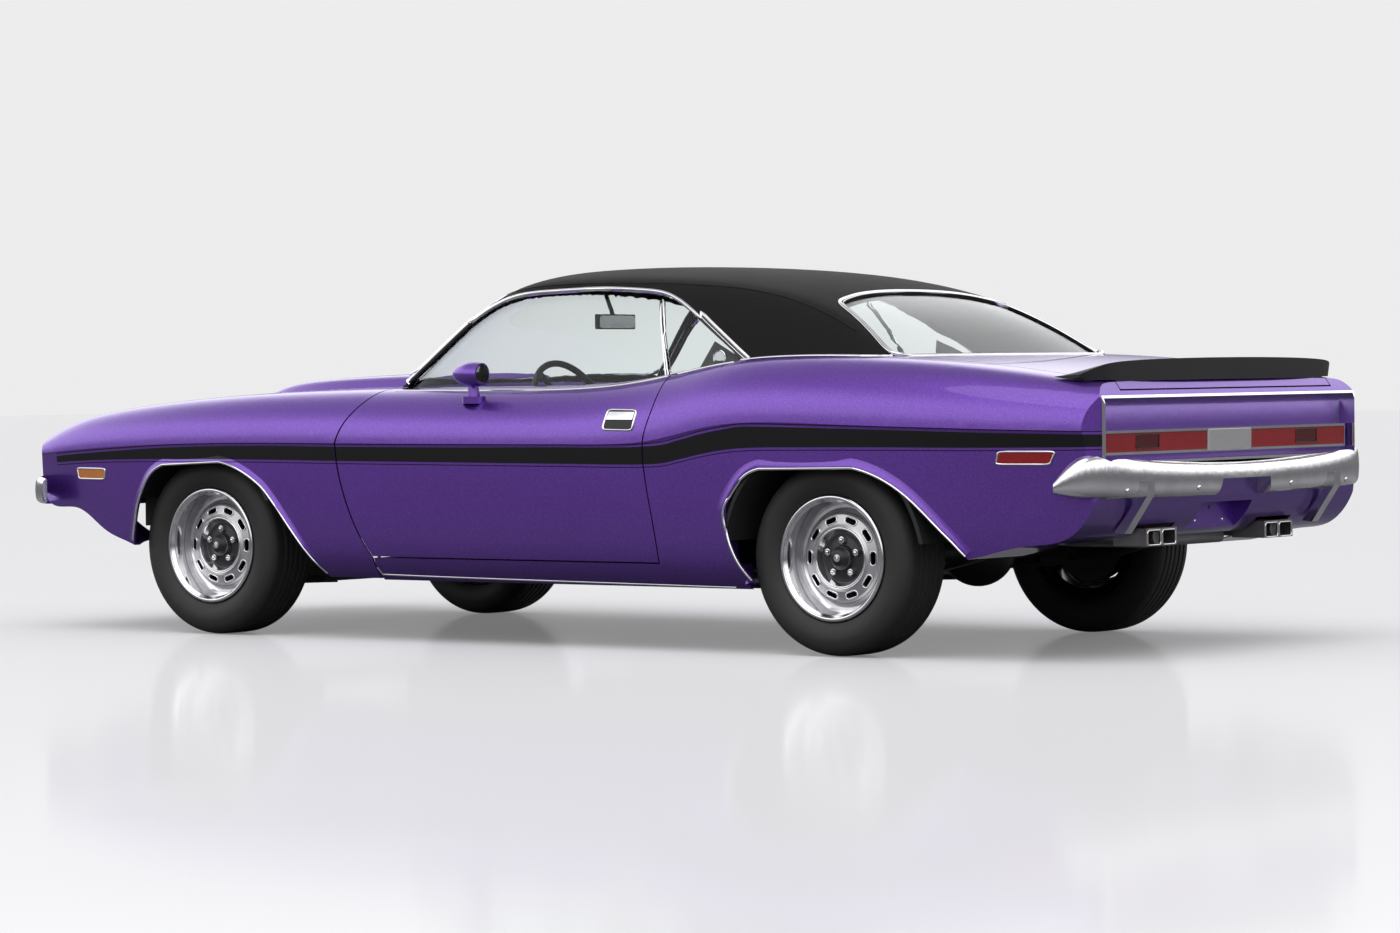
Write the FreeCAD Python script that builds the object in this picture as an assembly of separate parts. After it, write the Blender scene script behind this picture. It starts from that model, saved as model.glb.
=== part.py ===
"""Two-door hardtop muscle car: unibody shell, hinged panels, steered front wheels and a live rear axle.

Millimetres. +X points to the front of the car, +Y to its left side and +Z up. The origin is on the ground,
in the middle of the overall length and width.
"""

import FreeCAD
import Part
import math
import os

V = FreeCAD.Vector

# Driving dimensions of the whole car
overall_length = 4859.0
overall_width = 1933.0
roof_height = 1318.0
wheelbase = 2794.0
front_axle_x = 1437.0
front_track = 1516.0
rear_track = 1542.0
body_height = 990.0          # highest point of the quarter panel's shoulder
underbody_height = 218.0     # bottom of the sills

half_length = overall_length / 2
half_width = overall_width / 2
rear_axle_x = front_axle_x - wheelbase

# Sheet and panel thicknesses, gaps and clearances
skin = 7.0                   # fenders and quarters, with their folded edges
hood_thickness = 20.0
lid_thickness = 20.0
door_thickness = 105.0
cabin_wall = 95.0            # quarter panel with its inner trim
roof_wall = 30.0
structure_sheet = 14.0
panel_gap = 5.0
door_front_gap = 7.0         # wider, since the door's front edge swings past the fender
seat_clearance = 0.3         # between pieces bolted or glued to each other
overrun = 60.0               # how far cutting tools pass the material
same_point = 0.001           # points of an outline nearer than this are one

# Wheels
tyre_radius = 326.0
tyre_width = 236.0
rim_radius = 208.0
hub_clearance = 0.3
axle_height = tyre_radius

# Outlines seen from the side: lengths as shares of half_length, heights of body_height
FRONT_ARCH_SHARES = ((0.738, 0.150), (0.733, 0.310), (0.722, 0.415), (0.709, 0.505), (0.675, 0.605),
                     (0.611, 0.646), (0.549, 0.641), (0.508, 0.620), (0.467, 0.572), (0.437, 0.511),
                     (0.378, 0.337), (0.320, 0.150))
REAR_ARCH_SHARES = ((-0.462, 0.150), (-0.422, 0.313), (-0.404, 0.447), (-0.408, 0.512), (-0.445, 0.609),
                    (-0.506, 0.637), (-0.580, 0.640), (-0.642, 0.615), (-0.698, 0.544), (-0.756, 0.415),
                    (-0.782, 0.351), (-0.860, 0.150))
DOOR_FRONT_TOP_SHARES = ((0.247, 1.010), (0.261, 0.894), (0.283, 0.815), (0.300, 0.745), (0.306, 0.705))
DOOR_FRONT_SHARES = ((0.306, 0.705), (0.303, 0.641), (0.291, 0.529), (0.272, 0.417), (0.249, 0.322),
                     (0.243, 0.301))
DOOR_REAR_SHARES = ((-0.284, 0.301), (-0.280, 0.405), (-0.263, 0.640), (-0.262, 0.709), (-0.275, 0.831),
                    (-0.281, 0.944), (-0.284, 1.010))
TAIL_SIDE_SHARES = ((-0.945, 1.150), (-0.950, 0.950), (-0.972, 0.880), (-0.983, 0.707), (-0.976, 0.566),
                    (-0.963, 0.484), (-0.928, 0.404), (-0.872, 0.381), (-0.787, 0.336), (-0.708, 0.303),
                    (-0.659, 0.220))
NOSE_SIDE_SHARES = ((0.690, 0.220), (0.712, 0.300), (0.791, 0.375), (0.861, 0.462), (0.935, 0.480),
                    (0.962, 0.570), (0.990, 0.697), (0.985, 0.740), (0.966, 0.800), (0.966, 1.150))
# Outlines seen from above, from the centre plane to the flanks: lengths of half_length, widths of half_width
TAIL_PLAN_SHARES = ((-0.987, 0.0), (-0.987, 0.40), (-0.984, 0.700), (-0.978, 0.840), (-0.955, 0.905),
                    (-0.90, 1.010), (-0.86, 1.070))
NOSE_PLAN_SHARES = ((0.820, 1.070), (0.870, 1.000), (0.930, 0.930), (0.951, 0.860), (0.960, 0.780),
                    (0.972, 0.550), (0.982, 0.250), (0.984, 0.0))
# Side window opening under the drip rail: lengths of half_length, heights of roof_height
SIDE_WINDOW_SHARES = ((0.300, 0.600), (0.246, 0.680), (0.195, 0.769), (0.149, 0.850), (0.107, 0.901),
                      (0.060, 0.926), (0.000, 0.934), (-0.093, 0.938), (-0.162, 0.932), (-0.205, 0.922),
                      (-0.246, 0.893), (-0.303, 0.828), (-0.372, 0.747), (-0.420, 0.690), (-0.500, 0.600))

# Outer skin of the lower body, from tail to nose. Lengths are shares of half_length, heights of body_height
# and widths of half_width.
STATION_SHARES = (-1.012, -0.959, -0.877, -0.761, -0.659, -0.559, -0.465, -0.383, -0.313, -0.247, -0.144,
                  0.0, 0.165, 0.309, 0.453, 0.591, 0.720, 0.823, 0.897, 0.955, 1.004)
SHOULDER_HEIGHT_SHARES = (0.894, 0.909, 0.939, 0.972, 0.992, 1.003, 1.005, 0.998, 0.974, 0.943, 0.908,
                          0.900, 0.900, 0.896, 0.889, 0.874, 0.850, 0.822, 0.790, 0.736, 0.655)
SHOULDER_WIDTH_SHARES = (0.802, 0.812, 0.833, 0.859, 0.871, 0.875, 0.871, 0.861, 0.850, 0.846, 0.848,
                         0.855, 0.861, 0.871, 0.879, 0.881, 0.875, 0.859, 0.836, 0.802, 0.766)
CREASE_HEIGHT_SHARES = (0.752, 0.755, 0.758, 0.766, 0.772, 0.780, 0.788, 0.778, 0.738, 0.709, 0.708,
                        0.709, 0.709, 0.710, 0.712, 0.709, 0.699, 0.687, 0.675, 0.665, 0.657)
CREASE_WIDTH_SHARES = (0.874, 0.898, 0.936, 0.975, 0.993, 1.000, 1.000, 0.996, 0.991, 0.989, 0.990,
                       0.992, 0.993, 0.993, 0.991, 0.987, 0.970, 0.944, 0.917, 0.888, 0.848)
CENTRE_HEIGHT_SHARES = (0.899, 0.916, 0.950, 0.984, 1.003, 1.012, 1.015, 1.008, 0.980, 0.950, 0.930,
                        0.925, 0.925, 0.917, 0.909, 0.894, 0.868, 0.836, 0.800, 0.745, 0.660)
LOW_TUCK_SHARES = (0.94, 0.95, 0.965, 0.985, 0.995, 1.0, 1.0, 1.0, 1.0, 1.0, 1.0,
                   1.0, 1.0, 1.0, 1.0, 1.0, 0.99, 0.975, 0.955, 0.93, 0.91)
# Section control points between crease and shoulder, as shares of the step in width and in height
UPPER_SIDE_SHARES = ((0.02, 0.30), (0.26, 0.66))
# ... and over the top: share of the shoulder's width left, share of the rise from shoulder to centre
TOP_SHARES = ((1.0, 0.0), (0.90, 0.25), (0.58, 0.80), (0.0, 1.0))
# Lower side: inset from the crease's width as a share of half_width, height as a share of the crease's height
LOWER_SIDE_SHARES = ((0.0030, 0.985), (0.0022, 0.86), (0.0060, 0.66), (0.0150, 0.47), (0.0400, 0.365),
                     (0.0980, 0.30))

# Greenhouse: roof, pillars and glass, from the deck to the cowl. Lengths as shares of half_length, widths of
# half_width, heights of roof_height.
CABIN_STATION_SHARES = (-0.735, -0.665, -0.600, -0.540, -0.475, -0.400, -0.310, -0.200, -0.080, 0.030,
                        0.090, 0.140, 0.190, 0.240, 0.290, 0.345)
CABIN_CENTRE_SHARES = (0.600, 0.690, 0.775, 0.850, 0.910, 0.955, 0.980, 0.996, 1.003, 0.999,
                       0.990, 0.962, 0.895, 0.818, 0.745, 0.665)
CABIN_RAIL_HEIGHT_SHARES = (0.590, 0.675, 0.752, 0.818, 0.872, 0.912, 0.938, 0.955, 0.960, 0.954,
                            0.930, 0.874, 0.792, 0.705, 0.620, 0.540)
CABIN_RAIL_WIDTH_SHARES = (0.700, 0.690, 0.678, 0.664, 0.652, 0.644, 0.638, 0.634, 0.632, 0.636,
                           0.650, 0.678, 0.716, 0.752, 0.786, 0.820)
CABIN_BELT_WIDTH_SHARES = (0.820, 0.826, 0.832, 0.838, 0.842, 0.844, 0.844, 0.844, 0.846, 0.850,
                           0.852, 0.854, 0.855, 0.856, 0.857, 0.858)
CABIN_BELT_HEIGHT_SHARE = 0.60
CABIN_SIDE_SHARES = ((0.36, 0.012), (0.74, 0.016))
CABIN_TOP_SHARES = ((0.86, 0.42), (0.50, 0.92), (0.0, 1.0))
cabin_foot_height = 700.0


def share_at(x_share, stations, table):
    """The table's value at a station, by straight lines between its entries."""
    if x_share <= stations[0]:
        return table[0]
    for (a, b), (u, v) in zip(zip(stations, stations[1:]), zip(table, table[1:])):
        if x_share <= b:
            return u + (v - u) * (x_share - a) / (b - a)
    return table[-1]


def clamped(count, degree):
    """Multiplicities and knots of a clamped uniform spline with so many poles."""
    inner = count - degree - 1
    return [degree + 1] + [1] * inner + [degree + 1], [float(k) for k in range(inner + 2)]


def net_face(rows):
    """A smooth face whose control net is the rows of points given."""
    u_degree, v_degree = min(3, len(rows) - 1), min(3, len(rows[0]) - 1)
    u_mults, u_knots = clamped(len(rows), u_degree)
    v_mults, v_knots = clamped(len(rows[0]), v_degree)
    surface = Part.BSplineSurface()
    surface.buildFromPolesMultsKnots(rows, u_mults, v_mults, u_knots, v_knots, False, False,
                                     u_degree, v_degree)
    return surface.toShape()


def spline_edge(points):
    """A clamped spline edge on the given control points."""
    degree = min(3, len(points) - 1)
    mults, knots = clamped(len(points), degree)
    curve = Part.BSplineCurve()
    curve.buildFromPolesMultsKnots(points, mults, knots, False, degree)
    return curve.toShape()


def solid_of_strips(section_at, stations):
    """A closed solid from strips of control nets. section_at(i) gives its strips of points, end to end."""
    sections = [section_at(i) for i in range(len(stations))]
    faces = []
    for strip in range(len(sections[0])):
        faces.append(net_face([section[strip] for section in sections]))
    for section in (sections[0], sections[-1]):
        edges = [spline_edge(strip) for strip in section]
        faces.append(Part.Face(Part.Wire(Part.__sortEdges__(edges))))
    shell = Part.makeShell(faces)
    shell.sewShape()
    solid = Part.Solid(shell.Shells[0] if shell.Shells else shell)
    if solid.Volume < 0:
        solid.reverse()
    return solid


def mirrored_strip(points):
    """Left half from the outside to the centre plane, completed to the right side."""
    return points + [V(p.x, -p.y, p.z) for p in reversed(points[:-1])]


def body_section(i, inset):
    """Control points of the lower body's section at a station, set in from the outer skin."""
    x = STATION_SHARES[i] * half_length
    crease_y = CREASE_WIDTH_SHARES[i] * half_width - inset
    crease_z = CREASE_HEIGHT_SHARES[i] * body_height
    top_y = SHOULDER_WIDTH_SHARES[i] * half_width - inset
    top_z = SHOULDER_HEIGHT_SHARES[i] * body_height - inset
    centre_z = CENTRE_HEIGHT_SHARES[i] * body_height - inset
    upper = [V(x, crease_y, crease_z)]
    for across, up in UPPER_SIDE_SHARES:
        upper.append(V(x, crease_y + (top_y - crease_y) * across, crease_z + (top_z - crease_z) * up))
    for across, up in TOP_SHARES:
        upper.append(V(x, top_y * across, top_z + (centre_z - top_z) * up))
    lower = []
    for level, (inward, height) in enumerate(LOWER_SIDE_SHARES):
        tuck = 1 + (LOW_TUCK_SHARES[i] - 1) * level / (len(LOWER_SIDE_SHARES) - 1)
        lower.append(V(x, (CREASE_WIDTH_SHARES[i] - inward) * half_width * tuck - inset,
                       height * CREASE_HEIGHT_SHARES[9] * body_height
                       + (crease_z - CREASE_HEIGHT_SHARES[9] * body_height) * (1 if level < 2 else 0)))
    right = [V(p.x, -p.y, p.z) for p in lower]
    return [mirrored_strip(upper), [upper[0], lower[0]], lower, [lower[-1], right[-1]],
            right, [right[0], V(x, -crease_y, crease_z)]]


def lower_body(inset=0.0):
    """The lower body's full volume, out to its skin less the inset, with flat ends past nose and tail."""
    return solid_of_strips(lambda i: body_section(i, inset), STATION_SHARES)


def cabin_section(i, inset):
    """Control points of the greenhouse's section at a station."""
    ends = {0: -inset, len(CABIN_STATION_SHARES) - 1: inset}
    x = CABIN_STATION_SHARES[i] * half_length + ends.get(i, 0)
    belt_y = CABIN_BELT_WIDTH_SHARES[i] * half_width - inset
    rail_y = CABIN_RAIL_WIDTH_SHARES[i] * half_width - inset
    rail_z = CABIN_RAIL_HEIGHT_SHARES[i] * roof_height - inset
    centre_z = CABIN_CENTRE_SHARES[i] * roof_height - inset
    foot_z = cabin_foot_height - inset
    belt_z = max(foot_z + (rail_z - foot_z) * 0.2, min(CABIN_BELT_HEIGHT_SHARE * roof_height, rail_z - inset))
    side = [V(x, belt_y, foot_z), V(x, belt_y, belt_z)]
    for along, bulge in CABIN_SIDE_SHARES:
        side.append(V(x, belt_y + (rail_y - belt_y) * along + bulge * half_width,
                      belt_z + (rail_z - belt_z) * along))
    side.append(V(x, rail_y, rail_z))
    for across, up in CABIN_TOP_SHARES:
        side.append(V(x, rail_y * across, rail_z + (centre_z - rail_z) * up))
    strip = mirrored_strip(side)
    return [strip, [strip[-1], strip[0]]]


def greenhouse(inset=0.0):
    """The volume of the roof and glass, down into the lower body, less the inset."""
    return solid_of_strips(lambda i: cabin_section(i, inset), CABIN_STATION_SHARES)


# Outline helpers


def scaled(shares, height):
    """Side outline: lengths as shares of half_length, heights as shares of the height given."""
    return [(x * half_length, z * height) for x, z in shares]


def curve_through(points):
    """A smooth curve through the points."""
    curve = Part.BSplineCurve()
    curve.interpolate(points)
    return curve.toShape()


def prism(edges, direction):
    """The closed outline of the edges pushed along a direction."""
    wire = Part.Wire(Part.__sortEdges__(edges))
    return Part.Face(wire).extrude(direction)


def line(a, b):
    return Part.makeLine(a, b)


def side_prism(paths, y_from, y_to, lean=0.0):
    """A prism along Y. Each path is a list of (x, z): two points give a line, more a smooth curve.
    The paths run on from each other and the outline closes itself. The lean moves it back on its way."""
    edges = []
    last = None
    first = None
    for path in paths:
        points = [V(x, y_from, z) for x, z in path]
        if last is not None and last.distanceToPoint(points[0]) > same_point:
            edges.append(line(last, points[0]))
        first = first or points[0]
        edges.append(line(*points) if len(points) == 2 else curve_through(points))
        last = points[-1]
    edges.append(line(last, first))
    return prism(edges, V(-lean * (y_to - y_from), y_to - y_from, 0))


def plan_prism(paths, z_from, z_to):
    """A prism along Z from paths of (x, y)."""
    edges = []
    last = None
    first = None
    for path in paths:
        points = [V(x, y, z_from) for x, y in path]
        if last is not None and last.distanceToPoint(points[0]) > same_point:
            edges.append(line(last, points[0]))
        first = first or points[0]
        edges.append(line(*points) if len(points) == 2 else curve_through(points))
        last = points[-1]
    if last.distanceToPoint(first) > same_point:
        edges.append(line(last, first))
    return prism(edges, V(0, 0, z_to - z_from))


def polygon_prism(points, direction):
    """A prism from a closed polygon of points."""
    return Part.Face(Part.makePolygon(points + [points[0]])).extrude(direction)


def block(x_from, x_to, y_from, y_to, z_from, z_to):
    """A box between the six planes."""
    return Part.makeBox(x_to - x_from, y_to - y_from, z_to - z_from, V(x_from, y_from, z_from))


def mirror_y(shape):
    """The same piece on the other side of the car."""
    return shape.mirror(V(0, 0, 0), V(0, 1, 0))


def both(shape):
    """The piece and its twin on the other side, as one compound."""
    return Part.makeCompound(shape.Solids + mirror_y(shape).Solids)


def rod(a, b, radius):
    """A round bar between two points."""
    return Part.makeCylinder(radius, a.distanceToPoint(b), a, b - a)


def wheel_disc(x, y_from, y_to, radius):
    """A cylinder on a wheel's axis."""
    return Part.makeCylinder(radius, y_to - y_from, V(x, y_from, axle_height), V(0, 1, 0))


def main_solid(shape):
    """The largest solid of a cut, without any sliver left beside it."""
    solids = sorted(shape.Solids, key=lambda solid: -solid.Volume)
    return solids[0]


PARTS = {}


def keep(name, shape):
    """Holds a finished piece under its node's name."""
    solids = [solid for solid in shape.Solids if solid.Volume > 0]
    PARTS[name] = solids[0] if len(solids) == 1 else Part.makeCompound(solids)


# Whole volumes that the panels are cut from

top = roof_height * 1.1
wide = half_width * 1.1
tail_plan = [(x * half_length, y * half_width) for x, y in TAIL_PLAN_SHARES]
nose_plan = [(x * half_length, y * half_width) for x, y in NOSE_PLAN_SHARES]
plan = plan_prism([tail_plan, nose_plan, [(x, -y) for x, y in reversed(nose_plan)],
                   [(x, -y) for x, y in reversed(tail_plan)]], 0, top)
side = side_prism([scaled(TAIL_SIDE_SHARES, body_height), scaled(NOSE_SIDE_SHARES, body_height)],
                  -wide, wide)
trim = plan.common(side)
body = lower_body().common(trim)
body_inner = lower_body(skin)
cabin_inner = lower_body(cabin_wall)
door_inner = lower_body(door_thickness)
lid_inner = lower_body(lid_thickness)
glass_house = greenhouse()

front_arch = side_prism([scaled(FRONT_ARCH_SHARES, body_height)], -wide, wide)
rear_arch = side_prism([scaled(REAR_ARCH_SHARES, body_height)], -wide, wide)

# Wheel arches, door lines and the openings between panels

hood_half = 0.715 * half_width
hood_half_front = 0.690 * half_width
cowl_x = 0.345 * half_length
cowl_side_x = 0.300 * half_length
cowl_gap = 2 * panel_gap
mouth_top = 0.722 * body_height
mouth_bottom = 0.560 * body_height
mouth_half = 0.815 * half_width
floor_z = 0.266 * body_height
trunk_floor_z = 0.530 * body_height
engine_bay_half = 0.468 * half_width
cabin_half = 0.680 * half_width
firewall_x = 0.255 * half_length
seat_back_x = -0.412 * half_length
lid_front_x = -0.647 * half_length
lid_half = 0.695 * half_width
lid_half_rear = 0.735 * half_width
lid_rear_z = 0.885 * body_height
house_room = 60.0            # between tyre and wheel house
house_radius = tyre_radius + house_room
tyre_room = 12.0             # between tyre and the panels beside it
valance_top = 0.520 * body_height
kingpin_y = 0.700 * half_width
door_hinge_x = 0.236 * half_length
door_hinge_y = 0.951 * half_width
door_pin_radius = 6.0
door_rear_lean = 0.20        # how far the door's rear face runs forward for each millimetre inwards
end_shell = 2 * skin
tip_half_width = 0.098 * half_width
tip_low = 0.370 * body_height
tip_high = 0.428 * body_height
tip_y = 0.392 * half_width
sheet = structure_sheet
pin_radius = 6.0             # of the hood's and deck lid's hinges and the ball joints
eye_radius = 11.0
arm_width = 12.0
arm_depth = 14.0
eye_gap = 1.0                # between a hinge's eye and its bracket
hook_start = -65.0           # degrees below level at which a gooseneck arm leaves its pin
hook_steps = 12
far = 2 * half_length

door_front = scaled(DOOR_FRONT_SHARES, body_height)
door_front_top = scaled(DOOR_FRONT_TOP_SHARES, body_height)
door_rear = scaled(DOOR_REAR_SHARES, body_height)
sill_z = door_front[-1][1]


def hood_region(gap, rear_gap):
    """Plan outline of the hood, grown outwards by the gaps."""
    side_x, middle_x = cowl_side_x - rear_gap, cowl_x - rear_gap
    left = [(far, hood_half_front + gap), (side_x, hood_half + gap)]
    rear = [(side_x, hood_half + gap), (middle_x, 0), (side_x, -hood_half - gap)]
    right = [(side_x, -hood_half - gap), (far, -hood_half_front - gap)]
    return plan_prism([left, rear, right], mouth_top - gap, top)


def lid_region(gap):
    """Plan outline of the deck lid, grown outwards by the gap."""
    low, front = lid_rear_z - gap, lid_front_x + gap
    points = [V(-far, lid_half_rear + gap, low), V(front, lid_half + gap, low),
              V(front, -lid_half - gap, low), V(-far, -lid_half_rear - gap, low)]
    return polygon_prism(points, V(0, 0, top))


def front_of_door(dx):
    """Everything ahead of the door's front line, moved by dx."""
    upper = [(x + dx, z) for x, z in door_front_top]
    lower = [(x + dx, z) for x, z in door_front]
    return side_prism([[(far, top), (upper[0][0], top)], upper, lower, [(lower[-1][0], 0), (far, 0)]],
                      0, wide)


def behind_door(dx):
    """Everything behind the door's rear face, moved by dx. The face leans so that the door can swing."""
    path = [(x + dx + door_rear_lean * half_width, z) for x, z in door_rear]
    return side_prism([[(-far, 0), (path[0][0], 0)], path, [(path[-1][0], top), (-far, top)]],
                      0, wide, door_rear_lean)


def shifted(shape, dx, dy=0.0, dz=0.0):
    """A moved copy."""
    copy = shape.copy()
    copy.translate(V(dx, dy, dz))
    return copy


front_hollow = shifted(trim, -end_shell)
rear_hollow = shifted(trim, end_shell)
front_shell = body.cut(body_inner.common(front_hollow))
mouth = block(0.90 * half_length, far, -mouth_half, mouth_half, mouth_bottom, mouth_top)

# Front fenders, hood with its raised centre and twin scoops, cowl and front valance

fender = front_shell.common(front_of_door(door_front_gap / 2)).cut(hood_region(panel_gap / 2, 0))
fender = fender.cut(front_arch).cut(mouth)
fender = fender.cut(block(0, far, -wide, 0.60 * half_width, 0, top))
fender = fender.cut(block(0, 0.86 * half_length, -wide, hood_half + panel_gap / 2, 0, top))
fender = fender.cut(block(0, far, -wide, wide, 0, underbody_height + panel_gap))
steer_reach = math.hypot(tyre_radius, front_track / 2 + tyre_width / 2 - kingpin_y) + tyre_room
steer_room = Part.makeCylinder(steer_reach, axle_height + tyre_radius + tyre_room,
                               V(front_axle_x, kingpin_y, 0))
fender = fender.cut(steer_room.common(body_inner))
keep("fender_left", main_solid(fender))
keep("fender_right", mirror_y(main_solid(fender)))



def gooseneck(x, y, z, sign, reach, end_turn):
    """A hinge's arm: an eye on the pin, a spoke down from it and an arc that rises past the fixed panel's
    edge, at the reach from the pin, into the panel that opens. The sign is that panel's side of the pin."""
    def at(radius, turn, aside=0.0):
        angle = math.radians(turn)
        return V(x + sign * (radius * math.cos(angle) - aside * math.sin(angle)), y,
                 z + radius * math.sin(angle) + aside * math.cos(angle))
    turns = [hook_start + (end_turn - hook_start) * i / hook_steps for i in range(hook_steps + 1)]
    arc = [at(reach + arm_depth, turn) for turn in turns] + [at(reach, turn) for turn in reversed(turns)]
    half = arm_depth / 2
    spoke = [at(0, hook_start, half), at(reach + arm_depth, hook_start, half),
             at(reach + arm_depth, hook_start, -half), at(0, hook_start, -half)]
    eye = Part.makeCylinder(eye_radius, arm_width, V(x, y, z), V(0, 1, 0))
    bore = Part.makeCylinder(pin_radius + hub_clearance, 3 * arm_width, V(x, y - arm_width, z), V(0, 1, 0))
    arm = polygon_prism(arc, V(0, arm_width, 0)).fuse([polygon_prism(spoke, V(0, arm_width, 0)), eye])
    return arm.cut(bore)


# Bulge: station, half width at its foot and at its flat top, rise over the hood's own crown
BULGE_SHARES = ((0.350, 0.46, 0.41, 0.046), (0.42, 0.45, 0.40, 0.046), (0.50, 0.44, 0.39, 0.046),
                (0.58, 0.42, 0.37, 0.044), (0.635, 0.40, 0.35, 0.036), (0.662, 0.385, 0.33, 0.012))


def bulge_section(i):
    """Section of the raised centre: flanks and a gently crowned top, its foot inside the hood's skin."""
    share, foot_share, top_share, rise = BULGE_SHARES[i]
    x = share * half_length
    foot_y, top_y = foot_share * half_width, top_share * half_width
    crown = share_at(share, STATION_SHARES, CENTRE_HEIGHT_SHARES) * body_height
    edge = share_at(share, STATION_SHARES, SHOULDER_HEIGHT_SHARES) * body_height
    level = crown - (crown - edge) * 0.35
    z = level + rise * body_height
    foot_z = level - 0.75 * hood_thickness
    half = [V(x, foot_y, foot_z), V(x, foot_y - (foot_y - top_y) * 0.4, level + (z - level) * 0.2),
            V(x, top_y + (foot_y - top_y) * 0.25, z - (z - level) * 0.1), V(x, top_y * 0.9, z),
            V(x, top_y * 0.5, z + (crown - level) * 0.7), V(x, 0, z + (crown - level) * 0.8)]
    upper = mirrored_strip(half)
    return [upper, [upper[-1], upper[0]]]


hood = body.cut(lower_body(hood_thickness).common(front_hollow)).common(hood_region(-panel_gap / 2, 0))
hood = hood.fuse(solid_of_strips(bulge_section, BULGE_SHARES))
scoop_x = 0.60 * half_length
scoop_z = 0.908 * body_height
scoop_mouth = block(scoop_x, far, 0.12 * half_width, 0.34 * half_width, scoop_z,
                    scoop_z + 0.026 * body_height)
hood = hood.cut(both(scoop_mouth))
hood_hinge_x = cowl_side_x - 0.026 * half_length
hood_hinge_z = 0.879 * body_height
hinge_y = 0.62 * half_width
hood_arm = gooseneck(hood_hinge_x, hinge_y, hood_hinge_z, 1, 0.095 * half_width, 8.0)
hood_pad = block(hood_hinge_x + 0.100 * half_width, cowl_side_x + 0.060 * half_length, hinge_y,
                 hinge_y + arm_width, hood_hinge_z - pin_radius / 2, 0.885 * body_height)
hood_arm = hood_arm.fuse(hood_pad)
hood = hood.fuse(hood_arm).fuse(mirror_y(hood_arm))
keep("hood", main_solid(hood))

cowl_rear_x = 0.235 * half_length
cowl = body.cut(lower_body(structure_sheet)).common(
    block(cowl_rear_x, cowl_x + overrun, -hood_half, hood_half, body_height * 0.6, top))
cowl = cowl.cut(hood_region(panel_gap / 2, cowl_gap))
hinge_block = block(hood_hinge_x - 2 * eye_radius, hood_hinge_x + eye_radius, hinge_y + arm_width + eye_gap,
                    hinge_y + 2 * arm_width, hood_hinge_z - eye_radius, top).common(body_inner)
hood_pin = Part.makeCylinder(pin_radius, 2 * arm_width, V(hood_hinge_x, hinge_y, hood_hinge_z), V(0, 1, 0))
cowl_hinge = hinge_block.fuse(hood_pin)
keep("cowl_panel", main_solid(cowl.fuse(cowl_hinge).fuse(mirror_y(cowl_hinge))))

valance = front_shell.common(block(0.83 * half_length, far, -0.60 * half_width + seat_clearance,
                                   0.60 * half_width - seat_clearance, 0, mouth_bottom))
keep("front_valance", main_solid(valance))

# Grille set back in the mouth, with its surround and four round headlamps

grille_depth = 0.045 * half_length
grille_sheet = 6.0
mouth_in = block(0.90 * half_length, far, -mouth_half + seat_clearance, mouth_half - seat_clearance,
                 mouth_bottom + seat_clearance, mouth_top - seat_clearance)
mouth_core = block(0.80 * half_length, far, -mouth_half + 2 * grille_sheet, mouth_half - 2 * grille_sheet,
                   mouth_bottom + 2 * grille_sheet, mouth_top - 2 * grille_sheet)
surround = mouth_in.common(shifted(trim, -end_shell)).cut(shifted(trim, -grille_depth)).cut(mouth_core)
grille_back = mouth_in.common(shifted(trim, -grille_depth + grille_sheet))
grille_back = grille_back.cut(shifted(trim, -grille_depth - grille_sheet))
grille = surround.fuse(grille_back.common(mouth_in))
lamp_radius = 0.068 * body_height
lamp_z = (mouth_top + mouth_bottom) / 2
lamp_ys = (0.715 * half_width, 0.540 * half_width)
lamp_x = 0.90 * half_length
for lamp_y in lamp_ys:
    for sign in (1, -1):
        grille = grille.cut(Part.makeCylinder(lamp_radius, far, V(lamp_x, sign * lamp_y, lamp_z), V(1, 0, 0)))
bar_count = 9
bar_pitch = (mouth_top - mouth_bottom - 4 * grille_sheet) / bar_count
slot_half = lamp_ys[1] - lamp_radius - 2 * grille_sheet
for i in range(bar_count):
    slot_z = mouth_bottom + 2 * grille_sheet + bar_pitch * (i + 0.25)
    for sign in (1, -1):
        y_in, y_out = sorted((sign * grille_sheet, sign * slot_half))
        grille = grille.cut(block(lamp_x - overrun, far, y_in, y_out, slot_z, slot_z + bar_pitch * 0.55))
keep("grille", main_solid(grille))
lamps = []
for lamp_y in lamp_ys:
    bowl = Part.makeCylinder(lamp_radius - seat_clearance, far, V(lamp_x, lamp_y, lamp_z), V(1, 0, 0))
    lamps.append(bowl.common(shifted(trim, 2.5 * grille_sheet - grille_depth)))
keep("headlamps", both(Part.makeCompound(lamps)))

# Doors, each as thick as its shell and trim, with a slot for the glass

window_drop = 8.0
glass_skin = 16.0
glass_thickness = 5.0
glass_room = 6.0
glass_foot_z = 0.850 * body_height
split_top_x = -0.169 * half_length
split_low_x = -0.346 * half_length

window_outline = scaled(SIDE_WINDOW_SHARES, roof_height)
window = side_prism([window_outline], 0, wide)
window_clear = side_prism([[(x, z - window_drop) for x, z in window_outline]], 0, wide)


def glass_line(dx, behind):
    """Everything behind, or ahead of, the line where door glass and quarter glass meet."""
    reach = -far if behind else far
    low, high = V(split_low_x + dx, 0, glass_foot_z / 2), V(split_top_x + dx, 0, roof_height)
    return polygon_prism([V(reach, 0, glass_foot_z / 2), low, high, V(reach, 0, roof_height)], V(0, wide, 0))


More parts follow.
